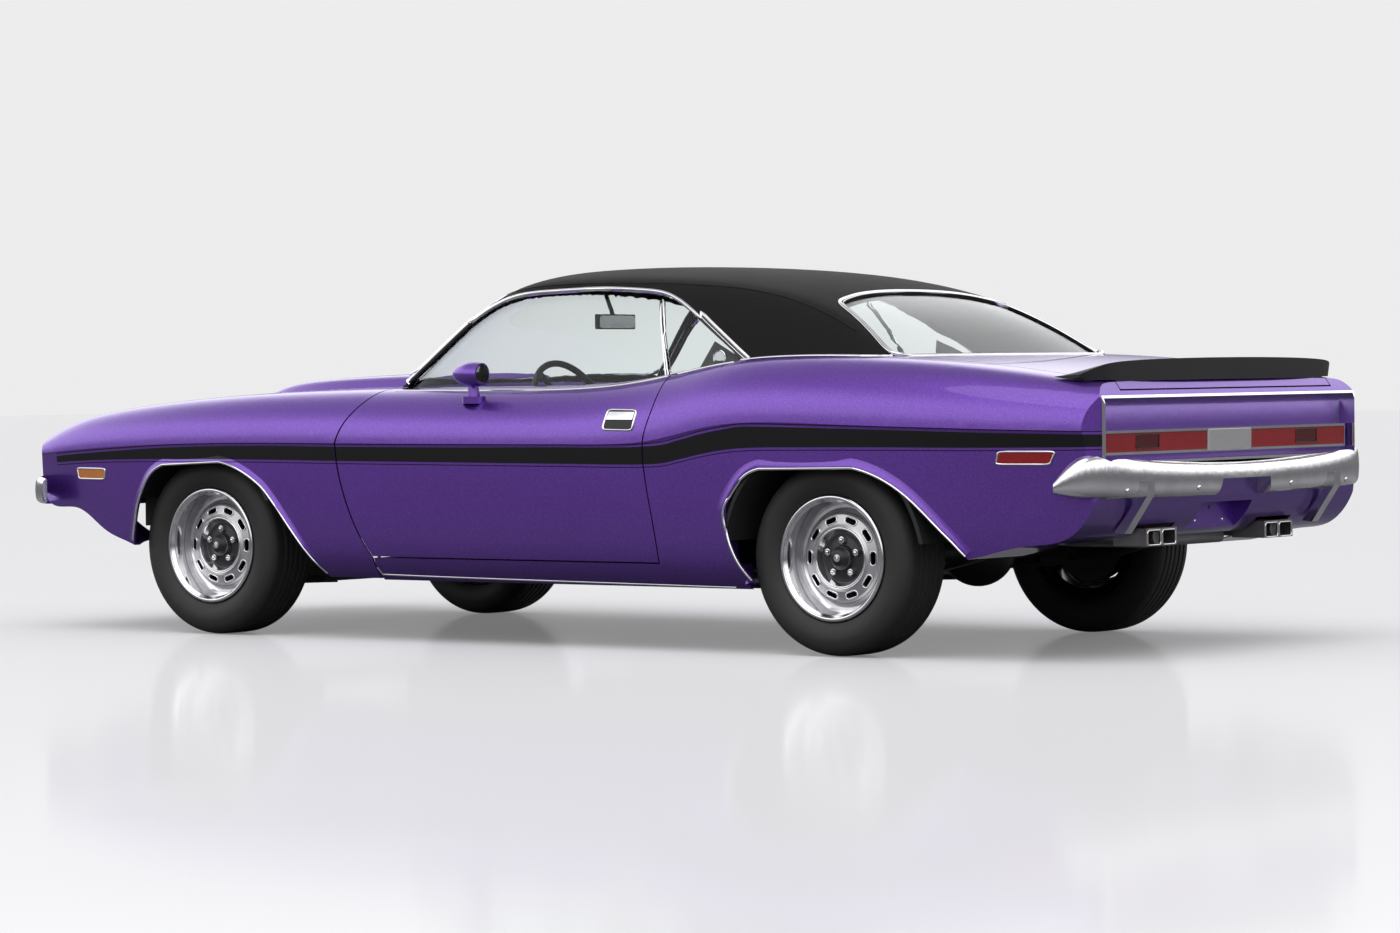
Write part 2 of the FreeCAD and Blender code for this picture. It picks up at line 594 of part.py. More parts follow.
pane = greenhouse(glass_skin).cut(greenhouse(glass_skin + glass_thickness))
side_pane = pane.common(window_clear).cut(block(-far, far, -wide, wide, 0, glass_foot_z))
door_glass = main_solid(side_pane.common(glass_line(panel_gap, False)))
keep("door_glass_left", door_glass)
keep("door_glass_right", mirror_y(door_glass))
over_door = lower_body(-panel_gap).cut(behind_door(-1.5 * panel_gap))
quarter_pane = main_solid(side_pane.common(glass_line(-panel_gap, True)).cut(over_door))
quarter_slot = greenhouse(glass_skin - seat_clearance)
quarter_slot = quarter_slot.cut(greenhouse(glass_skin + glass_thickness + seat_clearance))
quarter_slot = quarter_slot.cut(block(-far, far, -wide, wide, 0, glass_foot_z - seat_clearance))

slot = greenhouse(glass_skin - glass_room).cut(greenhouse(glass_skin + glass_thickness + glass_room))
slot = slot.cut(block(-far, far, -wide, wide, 0, glass_foot_z - glass_room))
door_blank = body.cut(door_inner).cut(front_of_door(-door_front_gap / 2)).cut(behind_door(panel_gap / 2))
door_blank = door_blank.cut(block(-far, far, -wide, 0.745 * half_width, 0, top))
door_blank = door_blank.cut(block(-far, far, -wide, wide, 0, sill_z + panel_gap))
door = main_solid(door_blank.cut(slot))
door_pin_height = 0.045 * body_height
door = door.cut(Part.makeCylinder(door_pin_radius + hub_clearance, door_pin_height + panel_gap,
                                  V(door_hinge_x, door_hinge_y, sill_z)))
keep("door_left", main_solid(door))
keep("door_right", mirror_y(main_solid(door)))

# Bullet mirror on the left door, with its foot on the door's skin

mirror_x = 0.066 * half_length
mirror_z = 0.953 * body_height
mirror_y_centre = 0.958 * half_width
bullet_radius = 0.043 * body_height
bullet_length = 0.052 * half_length
BULLET_SHARES = ((0.0, 0.0), (0.05, 0.40), (0.28, 0.80), (0.62, 1.0), (1.0, 0.92))
bullet_path = [V(mirror_x + bullet_length / 2 - a * bullet_length, 0, b * bullet_radius)
               for a, b in BULLET_SHARES]
bullet_wire = Part.Wire([curve_through(bullet_path), line(bullet_path[-1], V(bullet_path[-1].x, 0, 0)),
                         line(V(bullet_path[-1].x, 0, 0), bullet_path[0])])
bullet = Part.Face(bullet_wire).revolve(V(0, 0, 0), V(1, 0, 0), 360)
bullet.translate(V(0, mirror_y_centre - bullet_radius / 3, mirror_z))
neck_low = V(mirror_x, mirror_y_centre - bullet_radius, 0.862 * body_height)
neck = Part.makeCone(bullet_radius * 0.55, bullet_radius * 0.32, mirror_z - neck_low.z, neck_low)
foot = Part.makeCylinder(bullet_radius * 0.95, 0.025 * body_height,
                         V(neck_low.x, neck_low.y, neck_low.z - 0.012 * body_height))
mirror = bullet.fuse(neck).fuse(foot).cut(lower_body(-seat_clearance))
keep("door_mirror", main_solid(mirror))

# Quarter panels with sills, thick beside the rear seat, and the deck lid between them

region = behind_door(-panel_gap / 2).fuse(block(seat_back_x, 0.5 * half_length, 0, wide, 0, sill_z))
region = region.cut(front_of_door(-door_front_gap / 2))
beside_seat = block(seat_back_x, far, -wide, wide, sill_z, top)
behind_seat = block(-far, seat_back_x, -wide, wide, 0, top)
quarter = body.common(region).cut(cabin_inner.common(beside_seat)).cut(
    body_inner.common(rear_hollow).common(behind_seat))
wheel_room = wheel_disc(rear_axle_x, 0, wide, house_radius + structure_sheet + seat_clearance)
quarter = quarter.cut(wheel_room.common(body_inner))
quarter = quarter.cut(wheel_disc(rear_axle_x, 0, rear_track / 2 + tyre_width / 2 + tyre_room,
                                 tyre_radius + tyre_room))
quarter = quarter.fuse(Part.makeCylinder(door_pin_radius, door_pin_height + panel_gap,
                                         V(door_hinge_x, door_hinge_y, sill_z - panel_gap)))
tail_opening = block(-far, -0.90 * half_length, -0.845 * half_width, 0.845 * half_width, 0.640 * body_height,
                     0.868 * body_height)
quarter = quarter.cut(rear_arch)
quarter = quarter.cut(block(-far, far, -wide, 0, 0, top)).cut(lid_region(panel_gap / 2))
quarter = quarter.cut(block(lid_front_x, far, -wide, 0.755 * half_width, 0.5 * body_height, top))
quarter = quarter.cut(block(-far, rear_axle_x, -wide, 0.60 * half_width, 0, valance_top))
quarter = quarter.cut(block(-far, far, -wide, 0.80 * half_width, 0, sill_z))
quarter = quarter.cut(tail_opening).cut(quarter_slot)
quarter = quarter.cut(block(-far, far, -wide, 0.5 * half_width, 0, underbody_height + 3 * panel_gap))
keep("quarter_left", main_solid(quarter))
keep("quarter_right", mirror_y(main_solid(quarter)))

lid = body.cut(lid_inner.common(rear_hollow)).common(lid_region(-panel_gap / 2))
lid_hinge_x = lid_front_x + 0.026 * half_length
lid_hinge_z = 0.970 * body_height
lid_hinge_y = 0.42 * half_width
lid_arm = gooseneck(lid_hinge_x, lid_hinge_y, lid_hinge_z, -1, 0.077 * half_width, 14.0)
lid_pad = block(lid_front_x - 0.070 * half_length, lid_hinge_x - 0.082 * half_width, lid_hinge_y,
                lid_hinge_y + arm_width, lid_hinge_z - pin_radius, 0.983 * body_height)
lid_arm = lid_arm.fuse(lid_pad)
lid = lid.fuse(lid_arm).fuse(mirror_y(lid_arm))
keep("deck_lid", main_solid(lid))

filler_front_x = -0.590 * half_length
filler = body.cut(lower_body(structure_sheet)).common(
    block(lid_front_x + panel_gap / 2, filler_front_x, -0.755 * half_width + seat_clearance,
          0.755 * half_width - seat_clearance, 0.8 * body_height, top))
lid_bracket = block(lid_hinge_x - eye_radius, lid_hinge_x + 2 * eye_radius, lid_hinge_y + arm_width + eye_gap,
                    lid_hinge_y + 2 * arm_width, lid_hinge_z - eye_radius, top).common(body_inner)
lid_pin = Part.makeCylinder(pin_radius, 2 * arm_width, V(lid_hinge_x, lid_hinge_y, lid_hinge_z), V(0, 1, 0))
lid_bracket = lid_bracket.fuse(lid_pin)
keep("deck_filler", main_solid(filler.fuse(lid_bracket).fuse(mirror_y(lid_bracket))))

# Rear wing: flat blade on a full-width pedestal, its tips swept forward

wing_x = -0.968 * half_length
wing_half = 0.775 * half_width
wing_top = 0.986 * body_height
# Wing: place across, length ahead of the rear face, drop of the top, height of the rear face, its rake
WING_SHARES = ((-1.06, 0.060, 0.050, 0.012, 0.030), (-1.0, 0.058, 0.020, 0.050, 0.010),
               (-0.93, 0.050, 0.008, 0.088, 0.004), (-0.5, 0.044, 0.0, 0.094, 0.0),
               (0.0, 0.044, -0.002, 0.096, 0.0), (0.5, 0.044, 0.0, 0.094, 0.0),
               (0.93, 0.050, 0.008, 0.088, 0.004), (1.0, 0.058, 0.020, 0.050, 0.010),
               (1.06, 0.060, 0.050, 0.012, 0.030))


def wing_section(i):
    """Section of the wing across the car: tall rear face, long top falling forward to the lid."""
    across, length, drop, depth, rake = WING_SHARES[i]
    y = across * wing_half
    rear = wing_x + rake * half_length
    front = rear + length * half_length
    z = wing_top - drop * body_height
    low = z - depth * body_height
    upper = [V(rear, y, z), V(rear + (front - rear) * 0.3, y, z - (z - low) * 0.06),
             V(rear + (front - rear) * 0.7, y, z - (z - low) * 0.5), V(front, y, low)]
    face = [V(rear, y, z), V(rear + skin, y, low)]
    return [upper, [upper[-1], face[-1]], [face[-1], face[0]]]


wing = solid_of_strips(wing_section, WING_SHARES)
over_quarters = block(-far, far, lid_half - panel_gap, wide, 0, top)
wing = wing.cut(lower_body(-seat_clearance)).cut(lower_body(-panel_gap).common(both(over_quarters)))
keep("rear_wing", main_solid(wing))

# Roof with its pillars, windshield, rear window and side window openings cut through

# Plan outlines of both openings, from the centre plane outwards and back: upper edge, then lower edge
WINDSHIELD_TOP_SHARES = ((0.134, 0.0), (0.128, 0.36), (0.112, 0.59))
WINDSHIELD_LOW_SHARES = ((0.240, 0.745), (0.298, 0.42), (0.316, 0.0))
BACKLIGHT_TOP_SHARES = ((-0.452, 0.0), (-0.456, 0.30), (-0.468, 0.51))
BACKLIGHT_LOW_SHARES = ((-0.603, 0.661), (-0.622, 0.36), (-0.628, 0.0))


def opening(upper, lower, grow):
    """Plan outline of a front or rear window opening, grown by a length."""
    sign = 1 if upper[0][0] < lower[-1][0] else -1
    a = [(x * half_length - sign * grow, y * half_width + (grow if y else 0)) for x, y in upper]
    b = [(x * half_length + sign * grow, y * half_width + (grow if y else 0)) for x, y in lower]
    return plan_prism([a, b, [(x, -y) for x, y in reversed(b)], [(x, -y) for x, y in reversed(a)]],
                      0.8 * body_height, top)


roof = glass_house.cut(greenhouse(roof_wall)).cut(lower_body(-seat_clearance))
over_doors = block(-0.30 * half_length, 0.30 * half_length, -wide, wide, 0, top)
roof = roof.cut(lower_body(-panel_gap).common(over_doors))
roof = roof.cut(opening(WINDSHIELD_TOP_SHARES, WINDSHIELD_LOW_SHARES, 0))
roof = roof.cut(opening(BACKLIGHT_TOP_SHARES, BACKLIGHT_LOW_SHARES, 0))
roof = roof.cut(window).cut(mirror_y(window))
rest = 9.0
front_window = opening(WINDSHIELD_TOP_SHARES, WINDSHIELD_LOW_SHARES, rest)
rear_window = opening(BACKLIGHT_TOP_SHARES, BACKLIGHT_LOW_SHARES, rest)
bed = greenhouse(glass_skin / 2 - seat_clearance).cut(greenhouse(glass_skin + seat_clearance))
ends = greenhouse(glass_skin / 2).cut(greenhouse(glass_skin))
windshield = ends.common(front_window).cut(lower_body(-seat_clearance))
backlight = ends.common(rear_window).cut(lower_body(-seat_clearance))
roof = roof.cut(bed.common(opening(WINDSHIELD_TOP_SHARES, WINDSHIELD_LOW_SHARES, rest + seat_clearance)))
roof = roof.cut(bed.common(opening(BACKLIGHT_TOP_SHARES, BACKLIGHT_LOW_SHARES, rest + seat_clearance)))
keep("roof", main_solid(roof))
screens = [main_solid(windshield), main_solid(backlight)]
keep("fixed_glass", Part.makeCompound(screens + both(quarter_pane).Solids))

# Tail: recessed panel in a bright frame, lamps in it, rear valance with the number plate's recess

tail_depth = 0.022 * half_length
frame_depth = 0.012 * half_length
tail_half = 0.845 * half_width
tail_low = 0.645 * body_height
tail_high = 0.868 * body_height
frame_sheet = 9.0
tail_box = block(-far, -0.90 * half_length, -tail_half + seat_clearance, tail_half - seat_clearance,
                 tail_low + seat_clearance, tail_high - seat_clearance)
tail_core = block(-far, -0.90 * half_length, -tail_half + frame_sheet, tail_half - frame_sheet,
                  tail_low + frame_sheet, tail_high - frame_sheet)
frame = shifted(trim, -skin / 2).common(tail_box).cut(shifted(trim, tail_depth)).cut(tail_core)
panel = shifted(trim, tail_depth).common(tail_box).cut(shifted(trim, tail_depth + frame_sheet))
keep("tail_panel", main_solid(panel))
lamp_low = 0.683 * body_height
lamp_high = 0.744 * body_height
lamp_inner = 0.150 * half_width
lamp_outer = 0.800 * half_width
bezel_half = lamp_outer + frame_sheet
bezel = shifted(trim, frame_depth).common(block(-far, 0, -bezel_half, bezel_half, lamp_low - frame_sheet,
                                                lamp_high + frame_sheet))
bezel = bezel.cut(shifted(trim, tail_depth))
lens_box = block(-far, 0, lamp_inner, lamp_outer, lamp_low, lamp_high)
lens = shifted(trim, frame_depth + skin / 3).common(lens_box).cut(shifted(trim, tail_depth - seat_clearance))
bezel = bezel.cut(block(-far, 0, lamp_inner - seat_clearance, lamp_outer + seat_clearance,
                        lamp_low - seat_clearance, lamp_high + seat_clearance))
bezel = bezel.cut(block(-far, 0, -lamp_outer - seat_clearance, -lamp_inner + seat_clearance,
                        lamp_low - seat_clearance, lamp_high + seat_clearance))
keep("tail_frame", Part.makeCompound([main_solid(frame), main_solid(bezel)]))
keep("tail_lamps", both(lens))

plate_half = 0.165 * half_width
plate_low = 0.412 * body_height
plate_high = 0.505 * body_height
plate_bolt_spacing = 178.0
plate_bolt_z = 0.436 * body_height
apron_core = shifted(trim, end_shell).common(block(-far, -0.90 * half_length, -wide, wide, 0,
                                                   0.62 * body_height))
apron = trim.common(block(-far, -0.92 * half_length, -0.60 * half_width + seat_clearance,
                          0.60 * half_width - seat_clearance, 0.345 * body_height,
                          valance_top - seat_clearance))
apron = apron.cut(apron_core)
plate_x = -0.935 * half_length
plate_hole = block(-far, plate_x - skin, -plate_half, plate_half, plate_low, plate_high)
plate_walls = block(-0.972 * half_length, plate_x, -plate_half - skin, plate_half + skin, plate_low - skin,
                    plate_high + skin).common(trim)
apron = apron.fuse(plate_walls).cut(plate_hole)
bolt_radius = 3.3
for y in (-plate_bolt_spacing / 2, plate_bolt_spacing / 2):
    apron = apron.cut(Part.makeCylinder(bolt_radius, 6 * skin, V(plate_x - 3 * skin, y, plate_bolt_z),
                                        V(1, 0, 0)))
tip_room = tip_half_width + 3 * skin
for y in (tip_y, -tip_y):
    apron = apron.cut(block(-far, 0, y - tip_room, y + tip_room, 0, tip_high + 2 * skin))
keep("rear_valance", main_solid(apron))


# Bumpers: bands swept round the ends of the body. Path: share of half_length, share of half_width, then the
# bottom and top of the band as shares of body_height, then its depth in skin thicknesses.
REAR_BUMPER_SHARES = ((-0.936, -0.985, 0.555, 0.590, 3), (-0.962, -0.950, 0.536, 0.672, 6),
                      (-0.983, -0.870, 0.530, 0.690, 10), (-0.990, -0.760, 0.528, 0.676, 12),
                      (-0.9965, -0.500, 0.526, 0.652, 12), (-1.0003, 0.0, 0.524, 0.638, 12),
                      (-0.9965, 0.500, 0.526, 0.652, 12), (-0.990, 0.760, 0.528, 0.676, 12),
                      (-0.983, 0.870, 0.530, 0.690, 10), (-0.962, 0.950, 0.536, 0.672, 6),
                      (-0.936, 0.985, 0.555, 0.590, 3))
FRONT_BUMPER_SHARES = ((0.905, -0.990, 0.480, 0.570, 3), (0.940, -0.955, 0.472, 0.584, 8),
                       (0.970, -0.860, 0.476, 0.586, 12), (0.985, -0.700, 0.480, 0.574, 20),
                       (0.997, -0.400, 0.482, 0.562, 22), (1.0003, 0.0, 0.482, 0.558, 22),
                       (0.997, 0.400, 0.482, 0.562, 22), (0.985, 0.700, 0.480, 0.574, 20),
                       (0.970, 0.860, 0.476, 0.586, 12), (0.940, 0.955, 0.472, 0.584, 8),
                       (0.905, 0.990, 0.480, 0.570, 3))


def bumper_band(table):
    """The band as a control net: crowned outer face, flat back."""
    def section(i):
        share, across, bottom, height, depth = table[i]
        x, y = share * half_length, across * half_width
        before, after = table[max(i - 1, 0)], table[min(i + 1, len(table) - 1)]
        along = V((after[0] - before[0]) * half_length, (after[1] - before[1]) * half_width, 0).normalize()
        inward = V(-along.y, along.x, 0)
        if inward.dot(V(-x, -y, 0)) < 0:
            inward = inward * -1
        z0, z1 = bottom * body_height, height * body_height
        thick = depth * skin
        low, high = V(x, y, z0), V(x, y, z1)
        outer = [low + inward * thick, low + inward * (0.15 * thick), low + (high - low) * 0.25,
                 low + (high - low) * 0.75, high + inward * (0.15 * thick), high + inward * thick]
        return [outer, [outer[-1], outer[0]]]
    return solid_of_strips(section, table)


rear_bumper = bumper_band(REAR_BUMPER_SHARES)
notch_half = 0.185 * half_width
notch_low, notch_high = 0.50 * body_height, 0.585 * body_height
notch = polygon_prism([V(-far, -notch_half, notch_low), V(-far, notch_half, notch_low),
                       V(-far, notch_half * 0.86, notch_high), V(-far, -notch_half * 0.86, notch_high)],
                      V(far, 0, 0))
rear_bumper = rear_bumper.cut(notch)
guard_y = 0.627 * half_width
guard_width = 0.022 * half_width
GUARD_SHARES = ((-0.946, 0.420), (-0.962, 0.416), (-0.9985, 0.545), (-0.9985, 0.590), (-0.988, 0.590),
                (-0.982, 0.532))
guard = polygon_prism([V(x, guard_y - guard_width, z) for x, z in scaled(GUARD_SHARES, body_height)],
                      V(0, 2 * guard_width, 0))
rear_bumper = rear_bumper.fuse(guard).fuse(mirror_y(guard))
behind_frame = block(-far, 0, -wide, wide, tail_low, top)
rear_bumper = rear_bumper.cut(shifted(trim, -seat_clearance))
rear_bumper = rear_bumper.cut(shifted(trim, -skin / 2 - seat_clearance).common(behind_frame))
front_bumper = bumper_band(FRONT_BUMPER_SHARES).cut(shifted(trim, seat_clearance))
keep("bumpers", Part.makeCompound([main_solid(rear_bumper), main_solid(front_bumper)]))

# Unibody floor: cabin floor with its tunnel, firewall, bulkheads, trunk floor, wheel houses and frame rails

tunnel_half = 0.165 * half_width
tunnel_high = 0.470 * body_height
floor = block(seat_back_x, firewall_x, -0.745 * half_width, 0.745 * half_width, floor_z, floor_z + sheet)
tunnel = block(seat_back_x, firewall_x, -tunnel_half, tunnel_half, floor_z, tunnel_high)
tunnel_inside = block(seat_back_x - overrun, firewall_x + overrun, -tunnel_half + sheet, tunnel_half - sheet,
                      floor_z - overrun, tunnel_high - sheet)
firewall = block(firewall_x - sheet, firewall_x, -cabin_half, cabin_half, floor_z, 0.860 * body_height)
bulkhead = block(seat_back_x, seat_back_x + sheet, -0.745 * half_width, 0.745 * half_width, floor_z,
                 0.880 * body_height)
trunk_back_x = -0.925 * half_length
trunk_floor = block(trunk_back_x, seat_back_x, -0.56 * half_width, 0.56 * half_width, trunk_floor_z,
                    trunk_floor_z + sheet)
trunk_back = block(trunk_back_x, trunk_back_x + sheet, -0.56 * half_width, 0.56 * half_width, trunk_floor_z,
                   0.630 * body_height)
house_inner_y = 0.585 * half_width
rear_house = wheel_disc(rear_axle_x, house_inner_y, wide, house_radius + sheet)
rear_house_inside = wheel_disc(rear_axle_x, house_inner_y + sheet, wide, house_radius)
within_panels = lower_body(skin + seat_clearance)
rear_house = rear_house.cut(block(-far, far, 0, wide, 0, 0.385 * body_height)).common(within_panels)
front_house = wheel_disc(front_axle_x, engine_bay_half, wide, house_radius + sheet)
front_house_inside = wheel_disc(front_axle_x, engine_bay_half + sheet, wide, house_radius)
front_house = front_house.cut(block(-far, far, 0, wide, 0, 0.50 * body_height)).common(within_panels)
bay_front_x = 0.880 * half_length
apron_wall = polygon_prism([V(firewall_x - sheet, engine_bay_half, 0.42 * body_height),
                            V(bay_front_x, engine_bay_half, 0.42 * body_height),
                            V(bay_front_x, engine_bay_half, 0.735 * body_height),
                            V(firewall_x - sheet, engine_bay_half, 0.840 * body_height)], V(0, sheet, 0))
front_rail = block(firewall_x - sheet, bay_front_x, engine_bay_half - 5 * sheet, engine_bay_half + sheet,
                   0.38 * body_height, 0.44 * body_height)
radiator_wall = block(bay_front_x - sheet, bay_front_x, -engine_bay_half - sheet, engine_bay_half + sheet,
                      0.46 * body_height, 0.735 * body_height)
rear_rail = block(trunk_back_x, seat_back_x + sheet, 0.43 * half_width, 0.47 * half_width,
                  trunk_floor_z - 3 * sheet, trunk_floor_z)
front_side = apron_wall.fuse(front_rail)
floor_half = rear_house.fuse(rear_rail).fuse(front_side).fuse(front_house)
floor_pan = floor.fuse([tunnel, firewall, bulkhead, trunk_floor, trunk_back, radiator_wall,
                        floor_half, mirror_y(floor_half)])
floor_pan = floor_pan.cut(tunnel_inside).cut(rear_house_inside).cut(mirror_y(rear_house_inside))
floor_pan = floor_pan.cut(front_house_inside).cut(mirror_y(front_house_inside))
keep("floor_pan", main_solid(floor_pan))

# Wheels: tyre and rally rim with ten slots, five nuts and a domed centre

TYRE_SHARES = ((0.640, 0.375), (0.660, 0.43), (0.74, 0.485), (0.83, 0.50), (0.915, 0.465), (0.968, 0.405),
               (0.992, 0.30), (1.0, 0.10))
RIM_SHARES = ((1.005, 0.445), (0.985, 0.455), (0.955, 0.440), (0.905, 0.395), (0.865, 0.20), (0.850, 0.08),
              (0.800, 0.075), (0.745, 0.135), (0.690, 0.185), (0.540, 0.215), (0.500, 0.235), (0.455, 0.225),
              (0.400, 0.130), (0.330, 0.130), (0.210, 0.150), (0.185, 0.235), (0.130, 0.290), (0.055, 0.315),
              (0.0, 0.320))
RIM_BACK_SHARES = ((0.0, 0.225), (0.125, 0.215), (0.125, 0.09), (0.470, 0.09), (0.520, 0.165), (0.660, 0.145),
                   (0.735, 0.080), (0.790, 0.035), (0.815, 0.0), (0.815, -0.30), (0.930, -0.36),
                   (0.940, -0.43), (1.005, -0.445), (1.005, -0.405), (0.955, -0.395), (0.955, 0.395),
                   (1.005, 0.405))
slot_count = 10
slot_ring = 0.615 * rim_radius
slot_half_width = 0.052 * rim_radius
slot_half_length = 0.062 * rim_radius
nut_count = 5
nut_ring = 0.285 * rim_radius
nut_radius = 0.050 * rim_radius


def ring(shares, radius, width):
    """Points of a wheel profile: radius first, then the place along the axle."""
    return [V(0, t * width, r * radius) for r, t in shares]


bead_radius = 0.955 * rim_radius + hub_clearance
outer_half = [V(0, 0.36 * tyre_width, bead_radius)] + ring(TYRE_SHARES, tyre_radius, tyre_width)
tyre_profile = outer_half + [V(p.x, -p.y, p.z) for p in reversed(outer_half)]
tyre_edges = [curve_through(outer_half), line(outer_half[-1], tyre_profile[len(outer_half)]),
              curve_through(tyre_profile[len(outer_half):]), line(tyre_profile[-1], tyre_profile[0])]
tyre = Part.Face(Part.Wire(tyre_edges)).revolve(V(0, 0, 0), V(0, 1, 0), 360)
rim_points = ring(RIM_SHARES, rim_radius, tyre_width) + ring(RIM_BACK_SHARES, rim_radius, tyre_width)
rim = Part.Face(Part.makePolygon(rim_points + [rim_points[0]])).revolve(V(0, 0, 0), V(0, 1, 0), 360)
for i in range(slot_count):
    turn = 360.0 / slot_count * (i + 0.5)
    slot_tool = block(-slot_half_length, slot_half_length, 0, tyre_width / 2,
                      slot_ring - slot_half_width, slot_ring + slot_half_width)
    for sign in (1, -1):
        slot_tool = slot_tool.fuse(Part.makeCylinder(slot_half_width, tyre_width / 2,
                                                     V(sign * slot_half_length, 0, slot_ring), V(0, 1, 0)))
    slot_tool.rotate(V(0, 0, 0), V(0, 1, 0), turn)
    rim = rim.cut(slot_tool)
for i in range(nut_count):
    nut = Part.makeCylinder(nut_radius, 0.085 * tyre_width, V(0, 0.115 * tyre_width, nut_ring), V(0, 1, 0))
    nut.rotate(V(0, 0, 0), V(0, 1, 0), 360.0 / nut_count * i)
    rim = rim.fuse(nut)
rim = main_solid(rim)
corners = (("front", front_axle_x, front_track / 2), ("rear", rear_axle_x, rear_track / 2))
for end, x, y in corners:
    for piece, shape in (("tyre", tyre), ("rim", rim)):
        left = shifted(shape, x, y, axle_height)
        keep(piece + "_" + end + "_left", left)
        keep(piece + "_" + end + "_right", mirror_y(left))

# Knuckles with drums, front suspension, rear axle on leaf springs

spindle_radius = 0.125 * rim_radius - hub_clearance
drum_radius = 0.68 * rim_radius
drum_in = 0.27 * tyre_width
drum_out = 0.012 * tyre_width
hub_out = 0.200 * tyre_width


def drum(x, y):
    """Brake drum and spindle, with the inner face towards the car's middle."""
    shell = wheel_disc(x, y - drum_in, y - drum_out, drum_radius)
    flange = wheel_disc(x, y - drum_out, y + 0.08 * tyre_width, 0.44 * rim_radius)
    return shell.fuse([flange, wheel_disc(x, y, y + hub_out, spindle_radius)])


front_y = front_track / 2
arm_low_z = 0.60 * axle_height
arm_high_z = 1.36 * axle_height
upright = block(front_axle_x - 1.5 * sheet, front_axle_x + 1.5 * sheet, kingpin_y - sheet,
                front_y - drum_in + sheet, arm_low_z + sheet, arm_high_z - sheet)
knuckle = drum(front_axle_x, front_y).fuse(upright)
pin_hole = Part.makeCylinder(pin_radius + hub_clearance, axle_height * 2, V(front_axle_x, kingpin_y, 0))
knuckle = knuckle.cut(pin_hole)
keep("knuckle_left", main_solid(knuckle))
keep("knuckle_right", mirror_y(main_solid(knuckle)))

arm_sheet = 1.6 * structure_sheet
ball_radius = 2 * pin_radius


def wishbone(z, inner_y):
    """One A-shaped arm from its mounting to the ball joint."""
    reach = 0.075 * half_length
    shoulder_y = inner_y + 0.12 * (kingpin_y - inner_y)
    outline = [V(front_axle_x - reach, inner_y, z), V(front_axle_x + reach, inner_y, z),
               V(front_axle_x + reach * 0.82, shoulder_y, z), V(front_axle_x + ball_radius, kingpin_y, z),
               V(front_axle_x - ball_radius, kingpin_y, z), V(front_axle_x - reach * 0.82, shoulder_y, z)]
    hole = [V(front_axle_x - reach * 0.45, shoulder_y, z), V(front_axle_x + reach * 0.45, shoulder_y, z),
            V(front_axle_x, kingpin_y - 4 * sheet, z)]
    arm = polygon_prism(outline, V(0, 0, arm_sheet)).cut(polygon_prism(hole, V(0, 0, arm_sheet)))
    return arm.fuse(Part.makeCylinder(ball_radius, arm_sheet, V(front_axle_x, kingpin_y, z)))


low_arm = wishbone(arm_low_z - arm_sheet, engine_bay_half - 6 * sheet)
high_arm = wishbone(arm_high_z, engine_bay_half + sheet + seat_clearance)
ball_pin = Part.makeCylinder(pin_radius, 5 * sheet, V(front_axle_x, kingpin_y, arm_low_z - sheet))
ball_pin_high = Part.makeCylinder(pin_radius, 5 * sheet, V(front_axle_x, kingpin_y, arm_high_z - 4 * sheet))
tower_y = engine_bay_half - 5 * sheet - seat_clearance
crossmember = block(front_axle_x - 0.045 * half_length, front_axle_x + 0.045 * half_length,
                    -tower_y - 2 * sheet, tower_y + 2 * sheet, arm_low_z - 1.5 * sheet, arm_low_z + 2 * sheet)
tower = block(front_axle_x - 0.035 * half_length, front_axle_x + 0.035 * half_length, tower_y - 3 * sheet,
              tower_y, arm_low_z, arm_high_z)
side_suspension = low_arm.fuse([ball_pin, tower])
suspension = main_solid(crossmember.fuse([side_suspension, mirror_y(side_suspension)]))
keep("front_suspension", Part.makeCompound([suspension] + both(high_arm.fuse(ball_pin_high)).Solids))

tube_radius = 0.125 * tyre_radius
case_radius = 0.40 * tyre_radius
rear_y = rear_track / 2
axle = wheel_disc(rear_axle_x, -rear_y + drum_in, rear_y - drum_in, tube_radius)
axle_case = Part.makeSphere(case_radius, V(rear_axle_x, 0, axle_height))
nose_piece = Part.makeCone(case_radius * 0.75, tube_radius, case_radius * 1.5,
                           V(rear_axle_x, 0, axle_height), V(1, 0, 0))
rear_axle = axle.fuse([axle_case, nose_piece, drum(rear_axle_x, rear_y), mirror_y(drum(rear_axle_x, rear_y))])
spring_y = 0.525 * half_width
spring_half = 0.031 * half_width
SPRING_SHARES = ((-0.345, 0.232), (-0.45, 0.236), (-0.558, 0.250), (-0.68, 0.300), (-0.80, 0.425))
spring_line = scaled(SPRING_SHARES, body_height)
spring = side_prism([spring_line, [(x, z + structure_sheet) for x, z in reversed(spring_line)]],
                    spring_y - spring_half, spring_y + spring_half)
spring_seat = block(rear_axle_x - 4 * sheet, rear_axle_x + 4 * sheet, spring_y - spring_half,
                    spring_y + spring_half, 0.255 * body_height, axle_height)
hanger_front = block(spring_line[0][0] - 2 * sheet, spring_line[0][0] + 2 * sheet, spring_y - spring_half,
                     spring_y + spring_half, spring_line[0][1] - sheet, floor_z - seat_clearance)
shackle = block(spring_line[-1][0] - sheet, spring_line[-1][0] + sheet, spring_y - spring_half,
                spring_y + spring_half, spring_line[-1][1] - sheet,
                trunk_floor_z - 3 * sheet - seat_clearance)
half_rear = spring.fuse([spring_seat, hanger_front, shackle])
keep("rear_axle", main_solid(rear_axle.fuse([half_rear, mirror_y(half_rear)])))

# Engine and gearbox block, propeller shaft, exhaust and fuel tank

